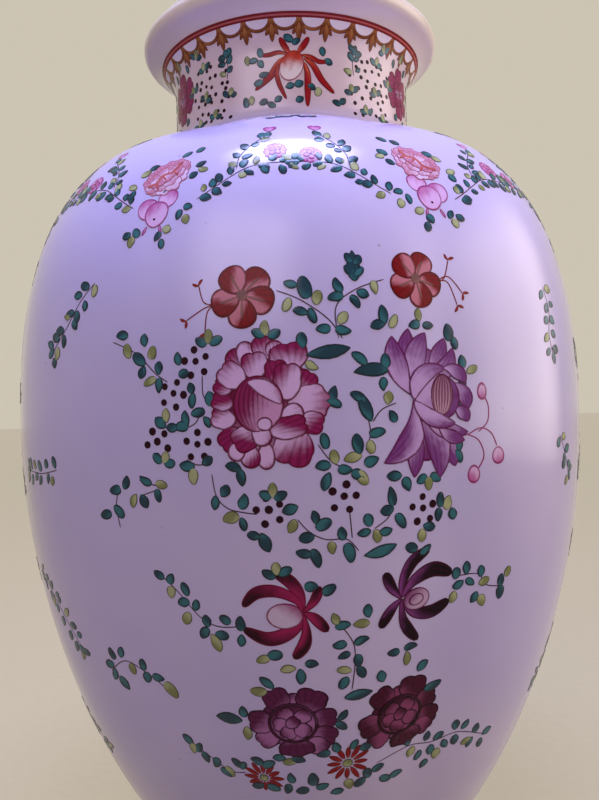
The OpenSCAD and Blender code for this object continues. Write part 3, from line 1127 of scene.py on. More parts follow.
def ring(enamel, spot, radius, width, layer):
    """A round outline."""
    turn = np.linspace(0, 2 * math.pi, 33)
    spine = radius * np.stack([np.cos(turn), 0.95 * np.sin(turn)], 1)
    stroke(enamel, spot, spine, np.full(33, width / 2), layer, 0.95, section=THREAD)


def round_peony(spot, enamel):
    """Small peony: broad lobed petals round a ringed heart of curled petals."""
    # base, tip, width, lobes, shade
    outer = (
        ((0.5, 4.6), (0.5, 9.6), 4.6, 1, 0.2), ((-2.2, 4.0), (-5.6, 10.8), 7.8, 2, 0.85),
        ((3.8, 3.6), (6.4, 10.8), 9.2, 2, 0.9), ((5.0, 1.6), (12.2, 1.4), 6.6, 2, 0.8),
        ((5.0, -2.6), (11.8, -5.8), 7.0, 2, 0.7), ((4.6, -4.6), (8.2, -10.0), 6.4, 2, 0.3),
        ((-4.0, -3.0), (-9.8, -7.4), 6.6, 2, 0.2), ((0.4, -5.0), (1.0, -11.4), 10.4, 3, 0.9),
        ((-4.6, 0.4), (-12.4, -0.4), 8.0, 2, 0.6),
    )
    inner = (
        ((0.4, 0.6), (4.6, 3.6), 5.0, 2, 0.2), ((-0.4, 0.8), (-3.4, 4.6), 5.0, 2, 0.35),
        ((-0.8, 0.0), (-5.6, -0.8), 4.8, 2, 0.1), ((-0.2, -0.8), (-2.2, -5.2), 5.0, 2, 0.3),
        ((0.6, -0.4), (4.4, -3.8), 5.2, 2, 0.15), ((-1.6, -1.4), (1.6, 2.0), 4.0, 2, 0.5),
    )
    disc(enamel, spot, 8, 18, 0, 0.8, 4.0, 32)
    petals(enamel, spot, outer, 1, 8.0, 30)
    top = 1 + len(outer)
    disc(enamel, spot, 6.2, 12.8, top, 0.4, 3.0, 32)
    petals(enamel, spot, inner, top + 1, 6.0)
    ring(enamel, spot, 6.3, 0.9, top + 8)


def aster(spot, radius):
    """Small red daisy of narrow petals round a light heart."""
    for i, heading in enumerate(range(0, 360, 30)):
        way = radius * towards(heading)
        dab("bow", spot, 0.28 * way, rng.uniform(0.9, 1.15) * way, 1.5, layer=1 + i % 3, shade=0.9)
    dot("lime", spot, (0, 0), 0.24 * radius, 5)


# Degrees on the body for each degree that the places of the big spray are given in
SPREAD = 0.97

# Leaves of the big spray by part: runs of its stems, dark and light leaves, and joints of trefoils
UPPER_LEAVES = dict(
    runs=(
        ((-3, 34.6), (0.5, 32), (4.5, 27), (6.5, 22)), ((13.4, 37.4), (8.7, 34.5), (5.7, 30), (5.9, 22)),
    ),
    teal=(
        (-0.9, 36.2, 165), (1.2, 35.2, 102, 7.4), (0.5, 28.8, 165), (2.3, 28, 290), (6.3, 35.8, 115),
        (5.7, 32.4, 190), (8.5, 31.2, 305), (8.7, 40.8, 92, 9.4), (8, 43, 125, 3.8),
        (9.4, 42.2, 50, 3.6), (7.9, 39.8, 140, 3.8), (9.5, 39.4, 40, 3.6), (9.9, 33.6, 340, 4),
        (3.7, 24.4, 180), (6.7, 24.3, 350), (4.3, 18.9, 8, 13), (0.7, 21.8, 95, 5),
    ),
    lime=((-1.6, 31, 245), (3.2, 32.4, 75), (11.8, 35.2, 280, 4), (6.7, 27.2, 50), (2, 15.6, 330)),
)
LEFT_LEAVES = dict(
    runs=(
        ((-30.5, 24), (-26, 20.5), (-22.5, 15), (-20.3, 12.6)),
        ((-14.4, 14), (-14.2, 8.5), (-12.4, 5.8)), ((-30, -16), (-30.6, -20), (-30.2, -26)),
        ((-26, -13), (-22.8, -14.5)), ((-25.6, -17), (-22.6, -15.4)),
        ((-17.4, -7.4), (-15.4, -8.8), (-13.2, -8)), ((-17.4, 0.6), (-15.6, 2), (-14.4, 6)),
    ),
    teal=(
        (-28.7, 25.2, 175), (-24.4, 24, 92), (-25.4, 19, 140, 5.8), (-24.8, 15.4, 245),
        (-21.7, 16.4, 85), (-21.8, 11.8, 265), (-18.3, 18.6, 100), (-17.5, 14.6, 10, 4),
        (-16.4, 10.8, 100, 4), (-16, 7.6, 260), (-13.4, 8, 92), (-15.2, 4.5, 10), (-13.9, 2, 300, 4),
        (-17.1, 3.2, 100), (-18, 0.6, 185), (-19.7, 0.8, 180, 4), (-21.7, 2.2, 142, 5.6),
        (-17.3, -8.8, 178, 5.4), (-14, -7.6, 35, 4.4), (-28.6, -13.6, 72, 5), (-30.6, -15.6, 190),
        (-32.8, -22.4, 195), (-30.2, -21.6, 310, 5), (-24.8, -12.8, 152), (-22.7, -17, 280),
        (-25.3, -18.6, 295, 5.2), (-9.9, -9.6, 165, 5.6), (-8.9, -12, 280, 5.4),
    ),
    lime=(
        (-27.4, 21.4, 105), (-23.1, 20.6, 78), (-23.5, 12.8, 205), (-20.6, 4, 92),
        (-16.1, -11.8, 268, 5), (-22, -14, 350), (-27, -18.6, 250),
    ),
    joints=((-13.4, 21.4, 88), (-21.6, -8.8, 70), (-4.6, 22.8, 90)),
)
SWAG_LEAVES = dict(
    runs=(
        ((-13.3, -11), (-12.7, -16.8), (-11, -19.8), (-8.6, -20.8), (-6.6, -21.2)),
        ((-0.8, -22.6), (1, -26), (3.4, -28), (6.4, -28.2), (8.2, -31.4)),
        ((6.8, -20.4), (7, -24), (7.2, -28)), ((10.6, -26), (12.8, -23.4), (13.6, -20)),
    ),
    teal=(
        (-11.5, -15.2, 60, 4.4), (-13, -18.4, 262), (-8.8, -17.8, 70), (-8.9, -23.8, 282),
        (-7.3, -26.8, 172), (-5.6, -28.4, 292, 6), (-1.8, -20, 200, 5.4), (1.6, -22.2, 100),
        (3.1, -24.4, 28, 5.4), (0.5, -27.4, 192, 5.2), (0, -31.2, 170), (1.6, -32.8, 290, 5.6),
        (5.8, -26.6, 100, 4), (6.6, -31.8, 285, 6), (11.6, -31.6, 14, 11.5), (9.8, -23.6, 102),
        (9, -26.6, 192), (12.4, -26.6, 8), (13.3, -18, 98, 5.6), (12.6, -21.3, 192),
        (14.8, -24.6, 302, 5.4), (16.7, -32.3, 162), (19.2, -32.8, 35),
    ),
    lime=((-10.6, -22.4, 195, 5.8), (-1.7, -24.2, 245), (4.3, -30.2, 275, 4), (10.8, -28, 282)),
    joints=((-4.3, -17.6, 88),),
)
LOTUS_LEAVES = dict(
    runs=(
        ((9.9, 2), (10.2, -2), (9.4, -6)), ((14.4, 5.6), (12, 4), (10.6, 1)),
        ((2.4, -4), (4.6, -8.8), (8, -11)),
    ),
    teal=(
        (8.8, 16.8, 140, 5.6), (10.6, 13.7, 182, 11), (12.9, 16.4, 92), (12.6, 10.4, 260, 4),
        (4.9, 8.4, 75), (4.9, 5.8, 335), (9.5, 5, 112, 10), (8.4, 7.2, 150, 5.4), (13.6, 2.2, 115),
        (11.3, -1.8, 12, 5.4), (3.4, -3.3, 100), (8.3, -4.3, 100, 5.8), (3.1, -9.8, 182),
        (6.3, -10.4, 352), (8.2, -12, 330), (10.3, -8.8, 22), (3.6, -13.4, 250, 5.6),
        (13.8, -12.8, 180, 5.4), (15.8, -15.2, 292), (12.7, 28, 92, 6), (12, 25.2, 192), (18, 25.6, 190),
        (20.4, 25.5, 0, 4.2), (23.8, 23.8, 92, 5.6), (25, 21, 282, 4), (26.2, 16, 95),
        (26.1, 10.2, 80, 4), (25.8, 5.5, 92, 4.4), (26.4, 2.3, 292, 4.4), (24.9, -5.8, 92, 4),
        (25, -8.8, 292, 4.4), (21.9, -20, 92), (21.5, -24, 262), (24.1, -24, 282), (19.8, -26.6, 350),
    ),
    lime=(
        (13.1, 7, 80, 4.4), (10.3, -5.2, 280), (4.9, -7.2, 100), (7.5, -7.8, 192, 5.6),
        (9.1, -12.6, 300), (14.4, 26.6, 60), (19, 28.4, 92, 4.2), (27.9, 14, 25), (23.3, -21, 80),
        (18.4, -29, 270),
    ),
    joints=((19.6, -13.2, 270),),
)
ORCHID_LEAVES = dict(
    runs=(
        ((-24, -38), (-20.6, -43), (-17, -49.5), (-13.8, -51.6), (-10, -51)),
        ((5, -50), (7.4, -56), (7.8, -62), (7.4, -70)),
        ((25, -41.5), (29.4, -41.5), (31.4, -45), (34.6, -46)),
    ),
    teal=(
        (-23.8, -38.3, 150), (-21.8, -39.4, 60, 4.2), (-19.4, -42, 110), (-19.8, -46, 190),
        (-17.8, -46, 70, 4.2), (-15.8, -50.2, 102), (-16.4, -54, 232), (-13.5, -53.7, 355),
        (-12.8, -49.6, 150), (-10, -50.2, 92), (-10.4, -55, 262), (1, -40.2, 0), (3.6, -40.8, 32),
        (5.8, -51.3, 10), (5.2, -56, 190), (8.9, -56, 20), (9.9, -47.6, 92), (6, -59.6, 202),
        (8.4, -61.4, 275), (8.7, -65, 300), (6, -67.6, 240), (-5, -58.8, 8, 5.2), (0.8, -61.6, 0),
        (-1.2, -65, 270, 5.4), (-6.7, -67, 140, 5.2), (14.4, -60.4, 182), (17.6, -60, 8),
        (25.2, -40.6, 82), (27.1, -39.4, 92, 4.2), (25.7, -43.6, 205), (28, -43.6, 330, 4.4),
        (29.8, -40.8, 92, 4.2), (29, -48, 240), (34.6, -44.2, 92, 4.2), (34.4, -47.8, 270),
    ),
    lime=(
        (-22, -43.2, 262), (-19.7, -50, 240), (-14.8, -56.4, 292, 6), (4.6, -49, 110),
        (8.7, -51, 182, 5.2), (6, -64, 170), (-7, -60.4, 200), (-3, -63, 190), (-8.2, -69.4, 182, 5.4),
        (16.8, -63, 270), (30.8, -43.6, 22, 4.2), (24.8, -47.2, 250), (30.7, -49.4, 292),
        (35.7, -42, 68, 4.2),
    ),
    joints=((-4, -37.4, 92),),
)
LOW_LEAVES = dict(
    runs=(
        ((-24.6, -89.5), (-20, -94.5), (-16, -98.4), (-12.6, -98)),
        ((13, -96), (19.6, -92.6), (25, -93.2), (31, -91.4), (38.6, -95)),
        ((-38, -69.5), (-34, -65.4), (-30, -68), (-26, -73)),
    ),
    teal=(
        (-14.2, -79.4, 178, 9.5), (-11.4, -76.6, 92), (5.8, -77.4, 50), (5.7, -81, 320),
        (8.6, -71.6, 8, 10), (12.7, -67, 102), (20.4, -66.4, 42), (22.9, -73, 20, 6.4), (17, -88, 62),
        (-10, -93.4, 152), (-7.7, -93.8, 32), (-14.3, -95, 132), (-12.8, -95.6, 60, 4),
        (-10.5, -102, 202), (-7.2, -102.4, 340), (-3.4, -98.4, 102), (-2, -92, 350), (-5.6, -91.4, 182),
        (0.5, -99, 92, 5.6), (2.4, -101.6, 20), (-1.6, -103, 200), (5, -88, 102), (8.4, -87.8, 62),
        (2.6, -90, 192), (10.4, -89, 12), (11.4, -99, 102), (13.6, -98, 30), (10, -102, 230),
        (19.4, -90.4, 100), (22.2, -97, 250), (23.6, -90.6, 80), (25, -96, 270), (24.4, -101, 240),
        (26.4, -91.4, 40), (28.4, -94.6, 300), (29.8, -88.6, 95), (30.8, -94, 280), (32.2, -89, 60),
        (35.8, -91.6, 90), (38.4, -98, 280), (39.4, -94.4, 30), (35, -96.6, 250), (-4.6, -102.6, 260),
        (5.4, -104.4, 10), (15.6, -102.4, 330), (18, -102.2, 20), (-24.4, -89.8, 122),
        (-22, -92, 62, 4.2), (-21, -95.2, 282), (-19, -96.2, 250), (-17, -99.4, 320),
        (-36.6, -63.6, 110), (-34.4, -62.8, 70, 4.2), (-38, -67, 190), (-37.4, -70.4, 250),
        (-35.4, -72.8, 300, 5.4), (-30, -65.8, 92), (-29.6, -69.8, 262), (-27.4, -69.6, 350),
    ),
    lime=(
        (-11.2, -83.6, 268, 5.2), (-3.6, -92.8, 195), (-16.2, -98.8, 300), (-23.6, -92.6, 265),
        (-32.4, -67.6, 280), (-25.4, -73.4, 305, 6.4), (20.6, -95, 250), (27, -98, 260),
        (33.8, -95.6, 200), (7.6, -102, 285),
    ),
)

# Rings of berries by azimuth, length along the wall and turn, and the stems of the loose sprigs
FRONT_BERRIES = (
    (-15.5, 17.4, 10), (-19.4, 9.5, -20), (-22.4, -3, 30), (-15.5, -3.7, 0), (-4.9, -20.3, 15),
    (6, -17.4, -10), (18.6, -22, 5),
)
FRONT_SPRIGS = (
    ((-35, 41), (-38, 36), (-41, 29), (-45, 22)), ((-44, -11), (-50, -12.5), (-57, -12)),
    ((-59, -43), (-53, -50), (-49, -57), (-45.5, -65)), ((47, 38), (48, 31), (47, 24), (48, 17)),
    ((49, -5), (52, -12), (54, -18)), ((64, -70), (60, -78), (55, -87)),
    ((-62, -91), (-57, -97), (-52, -103)),
)
SIDE_BERRIES = ((-12, 2), (11, -1), (-7, -17), (8, -24))
SIDE_SPRIGS = (
    ((2, 30), (5, 24), (4, 17)), ((-8, 12), (-13, 14), (-17, 20), (-21, 22)),
    ((8, 10), (13, 13), (18, 12)), ((-7, -4), (-12, -9), (-14, -16), (-20, -19)),
    ((7, -4), (12, -10), (14, -18), (19, -21)), ((0, -8), (2, -16), (-1, -24), (3, -32)),
    ((-9, -44), (-15, -47), (-19, -43)), ((8, -48), (13, -52), (17, -49)),
    ((0, -58), (2, -63), (1, -69)), ((-9, -80), (-16, -82), (-22, -78)),
    ((9, -80), (15, -84), (20, -81)), ((-12, -96), (-4, -98), (5, -96), (13, -98)),
)


def bouquet(front):
    """The big spray on the front lobes, about an azimuth."""
    at = on_wall("spray", BODY, front, SPREAD)
    peony(at(-4.5, 6.5, 0, (1.05, 1.0)))
    lotus(at(22.6, 7.5, 0, (1.1, 1.0)))
    red_flower(at(-8.1, 33.8), 8.6, LEFT_RED, LEFT_TENDRILS)
    red_flower(at(18.9, 38), 8.0, RIGHT_RED, RIGHT_TENDRILS)
    foliage(at, **UPPER_LEAVES)
    foliage(at, **LEFT_LEAVES)
    foliage(at, **SWAG_LEAVES)
    foliage(at, **LOTUS_LEAVES)
    for azimuth, along, turn in FRONT_BERRIES:
        berries(at(azimuth, along, turn), BERRY_RING)
    orchid(at(-0.3, -47), LEFT_ORCHID, LEFT_BULB, "wine", "bloom")
    orchid(at(15.2, -45.4), RIGHT_ORCHID, RIGHT_BULB, "plum", "iris")
    foliage(at, **ORCHID_LEAVES)
    round_peony(at(-2.7, -79.4), "purple")
    round_peony(at(16.7, -80.4, 14), "damson")
    aster(at(-9, -99), 5.4)
    aster(at(7.2, -94), 6.2)
    foliage(at, **LOW_LEAVES)
    for run in FRONT_SPRIGS:
        sprig(at, run, 4.2, 4.2)


def side_spray(side):
    """A slimmer spray on the lobes between the front and the back."""
    at = on_wall("spray", BODY, side)
    flower("rose", at(0, 4), 11, range(0, 360, 51), 9, 1, 0.7, 9.0, lobes=2, notch=0.2)
    flower("rose", at(0, 4), 6.8, range(20, 380, 60), 5.8, 9, 0.3, 6.0)
    dot("gilt", at(0, 4), (0, 0), 1.6, 16)
    orchid(at(2, -44), LEFT_ORCHID, LEFT_BULB, "wine", "bloom")
    round_peony(at(-1, -80), "purple")
    red_flower(at(-3, 35), 7.6, LEFT_RED, LEFT_TENDRILS)
    for run in SIDE_SPRIGS:
        sprig(at, run)
    for azimuth, along in SIDE_BERRIES:
        berries(at(azimuth, along), BERRY_RING)


def sprig(at, run, gap=4.6, length=4.4):
    """Leaves on both sides of a stem, at uneven steps and some of them light, with one at the end."""
    stems(at, run)
    home = at(*run[0])
    flat = np.array([(math.radians(a) * home.skin.radius(s), s) for a, s in run])
    steps = np.concatenate([[0], np.cumsum(np.hypot(*np.diff(flat, axis=0).T))])
    for i, middle in enumerate(np.arange(1.2, steps[-1], gap)):
        for way in (-1, 1):
            along = np.clip(middle + rng.uniform(-0.3, 0.3) * gap, 0.1, steps[-1])
            x, y = (np.interp(along, steps, column) for column in flat.T)
            k = min(np.searchsorted(steps, along), len(run) - 1)
            heading = math.atan2(*(flat[k] - flat[k - 1])[::-1])
            angle = heading + way * rng.uniform(0.6, 1.35)
            enamel = "lime" if (2 * i + (way > 0)) % 5 == 1 else "teal"
            reach = rng.uniform(0.5, 0.72) * length
            x, y = x + reach * math.cos(angle), y + reach * math.sin(angle)
            place = at(math.degrees(x / home.skin.radius(y)), y, math.degrees(angle))
            leaf(enamel, place, rng.uniform(0.8, 1.15) * length)
    leaf("teal", at(*run[-1], math.degrees(heading)), length)


# Places beside each carnation and bud of the garlands: degrees, length along the wall and heading
GARLAND_TEAL = (
    (0.3, 55.8, 300), (-0.6, 53.4, 260), (4.6, 57.4, 60), (6.3, 57, 330), (-4.8, 63.6, 190),
    (-3.2, 61.6, 280), (-4.4, 85.4, 160), (-1.6, 84.6, 150), (-5.6, 78.8, 160), (-4.6, 74.8, 150),
    (4.6, 80.2, 150), (7.6, 70.4, 300),
)
GARLAND_LIME = (
    (-1.4, 58, 200), (5.1, 54.8, 280), (-4.6, 59.8, 250), (-6.4, 76.4, 200), (6.2, 78.4, 140),
    (7.8, 73, 20),
)

# Stems of the swags and of what rises from them, places of the blossoms, and leaves over them
SWAG = ((6.2, 62.6), (8.8, 65.2), (11.6, 68.2), (14.6, 71), (18, 72), (22.3, 72))
RISER = ((12.8, 71), (13, 75.4), (14.4, 79.4), (16.2, 82.4), (17.6, 85))
BLOSSOM = (19.4, 75.8)
BLOSSOM_R = 3.4
CREST = (
    (17.6, 99, 175), (19.8, 100.4, 150), (21.6, 99.4, 185), (23.4, 101, 20), (25.2, 99.4, 355),
    (27.2, 100, 30),
)


def garlands():
    """Swags of leaves round the shoulder, with a bud and a carnation over each groove."""
    for k in range(LOBES):
        at = on_wall("garland", BODY, 360 / LOBES * (k + 0.5))
        side = -1 if k % 2 else 1
        low = 0 if k % 4 in (0, 1) else -3

        def beside(places):
            return [(side * a, s + low, h if side > 0 else 180 - h) for a, s, h in places]

        carnation(at(1.4 * side, 76.6 + low, -42 * side))
        bud(at(1.2 * side, 62.8 + low), side)
        leaves(at, beside(GARLAND_TEAL), beside(GARLAND_LIME), SMALL_LEAF)
        for way in (-1, 1):
            sprig(at, mirrored(way, SWAG), 3.2, SMALL_LEAF)
            sprig(at, mirrored(way, RISER), 3.6, 3.6)
            for turn in (-35, 35):
                spot = at(way * 18, 87.4, turn)
                petal("pink", spot, (0, -0.8), (0, 2.6), 2.2, layer=2, shade=0.8, stripes=3.0)
            blossom = at(way * BLOSSOM[0], BLOSSOM[1] + way, 20 * way)
            flower("pink", blossom, BLOSSOM_R, range(0, 360, 60), BLOSSOM_R, 1, 0.7, 4.0, lobes=2,
                   notch=0.25)
            flower("pink", blossom, 0.6 * BLOSSOM_R, range(30, 390, 90), 0.5 * BLOSSOM_R, 8, 1.0, 3.0)
        leaves(at, CREST, usual=SMALL_LEAF)


def bud(spot, side):
    """A pink bud of three overlapping petals, dark where they meet, with the far one towards a side."""
    # middle, half-width and half-height
    ovals = ((-2.8, 4.8, 3.2, 3.0), (3.1, 1.9, 3.3, 3.4), (0, 0, 3.7, 4.2))
    for layer, (x, y, half, tall) in enumerate(ovals):
        lean = 0.25 * (x or 1.6) * side
        base, tip = (x * side + lean, y - tall), (x * side - lean, y + tall)
        petal("pink", spot, base, tip, 2 * half, egg=0.1, layer=2 + 2 * layer, shade=0.45, stripes=5.0)
    for x in (-1.6, 2.4):
        dab("pink", spot, (x * side, -3.6), (1.5 * x * side, -6.4), 1.0, layer=1, shade=0.7)
    dab("teal", spot, (-0.6 * side, 7.0), (-2.4 * side, 9.4), 1.8, layer=8)
    dot("berry", spot, (0.4 * side, -1.6), 0.4, 8)


def carnation(spot):
    """A pale pink carnation from the side: ragged petals above and below a darker mouth."""
    # height over the mouth, reach to each side, width of a petal, shade
    rows = (
        (5.6, 6.8, 5.0, 0.75), (-8.2, 6.6, 5.6, 0.1), (-5.6, 7.0, 5.0, 0.35), (3.4, 5.0, 3.8, 0.6),
        (-3.4, 5.4, 3.8, 0.6),
    )
    layer = 1
    for tall, reach, width, shade in rows:
        for x, drop in ((-1, 0.5), (1, 0.5), (-0.55, 0.86), (0.55, 0.86), (0, 1.0)):
            base = (0.4 * x * reach, -0.1 * tall)
            tone = shade + rng.uniform(-0.25, 0.25)
            petal("coral", spot, base, (x * reach, drop * tall), width, 3, 0.25, 0.3, layer, tone, 7.0)
            layer += 1
    folds = ((-3.6, -1.0), (-0.8, 0.2), (2.2, -0.9))
    line("mouth", spot, ((-6.2, 0.2), *folds, (6.2, 0.5)), 0.9, layer, STROKE)
    for x, y in (folds[0], folds[2], folds[1]):
        dab("mouth", spot, (x, y), (1.2 * x, y - 2.6), 0.6, layer=layer)


def band(enamel, region, skin, low, top, layer=1.0, turns=256):
    """A painted ring round the jar between two lengths along the wall."""
    azimuth = np.linspace(0, 2 * math.pi, turns, endpoint=False)
    edge = lifted(layer, 0)
    columns = ((low, SKIRT), (low, edge), ((low + top) / 2, lifted(layer, 1)), (top, edge), (top, SKIRT))
    points = np.concatenate([skin.place(azimuth, along, lift) for along, lift in columns])
    left, right = (-1, 0.5, 0), (1, 0.5, 0)
    paint = np.repeat([left, left, (0, 0.5, (top - low) / 2), right, right], turns, 0)
    brush = brushes.setdefault((region, enamel), Brush())
    brush.add(points, ring_faces(len(columns), turns), paint, (0.5, 0, 0))


# Half-moons in a border
SCALLOPS = 32


def scallops(region, skin, top, depth, pendant, start):
    """A border of white half-moons under a line, with a gilt pendant between each two."""
    step = 360 / SCALLOPS
    width = math.radians(step) * skin.radius(top - depth / 2)
    for k in range(SCALLOPS):
        moon = Spot(region, skin, start + (k + 0.5) * step, top)
        half_moon("gilt", moon, 1.06 * width, depth + 1.0, 1, 0.8)
        half_moon("white", moon, 0.82 * width, depth, 6, 0.5)
        hang = Spot(region, skin, start + k * step, top)
        dab("gilt", hang, (0, 0.2), (0, -depth - 0.6), 4.2, 0, 0.7, 0.8, 3, 0.7)
        dab("gilt", hang, (0, -0.5 * depth), (0, -pendant), 2.0, 0, 0.7, 0.9, 5, 0.6)
        for way in (-1, 1):
            tip = (way * 0.3 * pendant, 0.6 - 0.8 * pendant)
            dab("gilt", hang, (0, -0.7 * depth), tip, 1.5, 0, 0.7, 1.0, 4, 0.6)


# Width of each ribbon of the bow, then the points that it goes through
BOW = (
    (2, (-0.8, 1.6), (-2.4, 3.8), (-4, 6.6)), (2, (1.8, 1.8), (3.6, 3.8), (5.6, 6.6)),
    (1.5, (-1, 1.2), (-4.4, 2), (-8, 1.4), (-11.6, 1.9)), (1.6, (3, 1), (6, 0.4), (9, -1), (13, -0.4)),
    (2.4, (-2.6, 0.2), (-4.6, -1.8), (-7.4, -5.6), (-12.6, -9.6)),
    (1.6, (-4.6, -1.6), (-5.2, -4.8), (-4.4, -8.6), (-2.2, -13.4)),
    (2.2, (3.8, -1.4), (4.8, -5), (4.8, -10), (4.6, -16)),
    (2.2, (3.8, 0), (6.8, -2.4), (9.6, -7), (13.8, -11)),
)

# Leaves, berries and sprays of the neck, and leaves round the flowers at its sides
NECK_TEAL = (
    (-0.4, 28, 150), (3, 26.6, 30), (-13, 24, 100), (-16, 21.5, 190), (-12.5, 20.4, 300),
    (-11.5, 17, 10), (-14, 14.6, 190), (14.5, 24, 95), (17, 21, 330), (-0.5, 12.8, 200), (3.4, 13.6, 20),
    (9, 12, 330), (-20, 8.4, 100), (-12, 8, 20), (-8.4, 6.8, 150), (-5.4, 8.2, 30), (3.6, 8.4, 20, 3.6),
    (20, 7.4, 160, 3.6), (23, 8.6, 40, 3.6),
)
NECK_LIME = ((-18.6, 22, 100, 3.6), (12, 10.6, 250, 3.6), (-17, 8.8, 90, 3.6))
FAR_TEAL = ((55, 27, 100), (68, 27, 80), (57, 9, 230), (67, 8, 310), (62, 5, 270))
FAR_LIME = ((61, 30, 90), (71, 17, 10))
NECK_BERRIES = 36
BERRY_COLUMNS = 5
NECK_SPRAYS = (
    (42, 23, -10), (42, 12.6, 20), (28, 11.6, 15), (46, 4, 0), (50, 17, -20), (36, 5.4, 10),
    (47, 28, 30),
)


def neck_border():
    """The border under the lip, with a bow and sprays on the neck."""
    band("line", "neck", NECK, 35.1, 35.8, 9)
    band("mouth", "neck", NECK, 34.4, 35.2, 8)
    band("line", "neck", NECK, 33.9, 34.5, 9)
    band("pink", "neck", NECK, 0.2, 0.6)
    scallops("neck", NECK, 34.1, 3.0, 7.2, 4)
    for front in (0, 180):
        at = on_wall("neck", NECK, front)
        heart = at(1, 21.6)
        for i, (width, *points) in enumerate(BOW):
            ribbon("bow", heart, points, width, 1 + i, 0.8, 1.15)
        petal("bulb", heart, (-2.4, -7.2), (1.8, 2.2), 7.6, 1, egg=0, layer=10, shade=0.55, stripes=5.0)
        leaves(at, NECK_TEAL, NECK_LIME, SMALL_LEAF)
        for way in (-1, 1):
            trefoils(at, [(way * a, s, 90 + way * h) for a, s, h in NECK_SPRAYS], 0.8)
            for i in range(NECK_BERRIES):
                row, column = divmod(i, BERRY_COLUMNS)
                place = at(way * (28 + 4.6 * column + 2.3 * (row % 2)), 5.2 + 3.0 * row)
                berries(place, [(rng.uniform(-0.9, 0.9), rng.uniform(-0.7, 0.7))], 0.7)
            sprig(at, mirrored(way, ((82, 26), (79, 18), (82, 10), (78, 4))), 4.0, 3.4)
            sprig(at, mirrored(way, ((29, 17.6), (28.4, 21.4), (29.2, 26))), 3.0, 3.4)
            tall = at(way * 62, 18, 90)
            flower("rose", tall, 9.4, (-60, 0, 60, 120, 180, 240), 6.6, 1, 1.25, 9.0, lobes=2, notch=0.2)
            flower("rose", tall, 5.0, (-30, 60, 150, 240), 4.4, 8, 0.95, 6.0)
            leaves(at, mirrored(way, FAR_TEAL), usual=3.6)
            leaves(at, lime=mirrored(way, FAR_LIME), usual=3.4)


def cover_painting():
    """The same border and small sprays on the cover."""
    band("line", "cover", BRIM, BRIM.along[-1] - 4.6, BRIM.along[-1] - 3.7)
    band("line", "cover", DOME, 10.8, 11.8, 9)
    band("gilt", "cover", DOME, DOME.along[-1] - 3.2, DOME.along[-1] - 1.6)
    scallops("cover", DOME, 11, 3.4, 7.2, 4)
    for k in range(4):
        at = on_wall("cover", DOME, 90 * k)
        if k % 2:
            flower("rose", at(0, 26), 6.6, range(0, 360, 60), 5.4, 1, 0.7, 6.0, lobes=2, notch=0.2)
            flower("rose", at(0, 26), 3.6, range(30, 390, 90), 3.4, 8, 0.3, 4.0)
        else:
            flower("iron", at(0, 26), 6.4, (-54, 18, 90, 162, 234), 5.6, 1, 0.55, 9.0, egg=0.2)
        dot("gilt", at(0, 26), (0, 0), 1.0, 13)
        for way in (-1, 1):
            sprig(at, mirrored(way, ((13, 26), (24, 22), (36, 25))), 4.4, 4.0)
        leaves(at, ((-9, 35, 120), (9, 35, 60), (-9, 17.4, 210), (9, 17.4, 330)),
               ((0, 36, 90), (0, 16.4, 270)))
        berries(at(45, 30), BERRY_RING, 0.8)


def finish_painting():
    """Make one mesh of each enamel in each region."""
    enamels = make_enamels()
    for (region, enamel), brush in sorted(brushes.items()):
        material, slot = enamels[enamel]
        name = f"{region}_{enamel}"
        show(name, brush.mesh(name), material, "cover" if region == "cover" else "jar", slot=slot)


bouquet(0)
bouquet(180)
side_spray(90)
side_spray(270)
garlands()
neck_border()
cover_painting()
finish_painting()


# Stage, light and camera


# Floor and world: colours, the floor's radius in metres and its own glow, and the world's light on the
# jar and behind it
FLOOR_COLOUR = srgb(140, 122, 96)
FLOOR_PALE = srgb(156, 138, 110)
WORLD_COLOUR = srgb(240, 230, 210)
FLOOR_RADIUS = 6
FLOOR_GLOW = 0.48
AMBIENT = 0.08
BACKDROP = 0.7

# Soft panels: where their light has faded out and where it is full, as shares of their size from the
# middle, then each lamp in metres and watts
PANEL_EDGE = 0.5
PANEL_CORE = 0.15
LAMPS = {
    "overhead_window": dict(place=(0.0, -0.09, 0.85), aim=(0, -0.088, 0.2), size=(0.6, 0.27), power=16,
                            colour=(0.43, 0.48, 1.0)),
    "right_window": dict(place=(1.0, -0.12, 0.42), aim=(0, 0, 0.2), size=(1.5, 1.3), power=20,
                         colour=(1.0, 0.87, 0.84)),
    "front_high": dict(place=(-0.5, -1.0, 0.9), aim=(0, 0, 0.22), size=(1.5, 1.1), power=16,
                       colour=(0.92, 0.82, 0.97)),
}

# Camera: lens in pixels of the photograph, place in metres and roll in degrees
PHOTO_HEIGHT = 800
FOCAL_PX = 740
SENSOR_HEIGHT = 36
CLIP_START = 0.01
CAMERA_BACK = 0.285
CAMERA_HEIGHT = 0.165
CAMERA_ROLL = 1.6


def make_floor():
    """A pale floor that keeps the shadow."""
    shader = Shader("pale_floor", Roughness=0.6, Specular_IOR_Level=0.2)
    tone = shader.mix(shader.ramp(shader.noise(220, 3), 0.3, 0.7, 0, 0.3), FLOOR_COLOUR, FLOOR_PALE)
    rays = shader.node("LightPath").outputs
    seen = shader.math("MAXIMUM", rays["Is Camera Ray"], rays["Is Glossy Ray"])
    glow = shader.math("MULTIPLY", seen, FLOOR_GLOW)
    shader.set(Base_Color=tone, Emission_Color=WORLD_COLOUR, Emission_Strength=glow)
    bpy.ops.mesh.primitive_circle_add(vertices=96, radius=FLOOR_RADIUS, fill_type="NGON")
    floor = bpy.context.active_object
    floor.name = "floor"
    floor.data.materials.append(shader.material)
    return floor


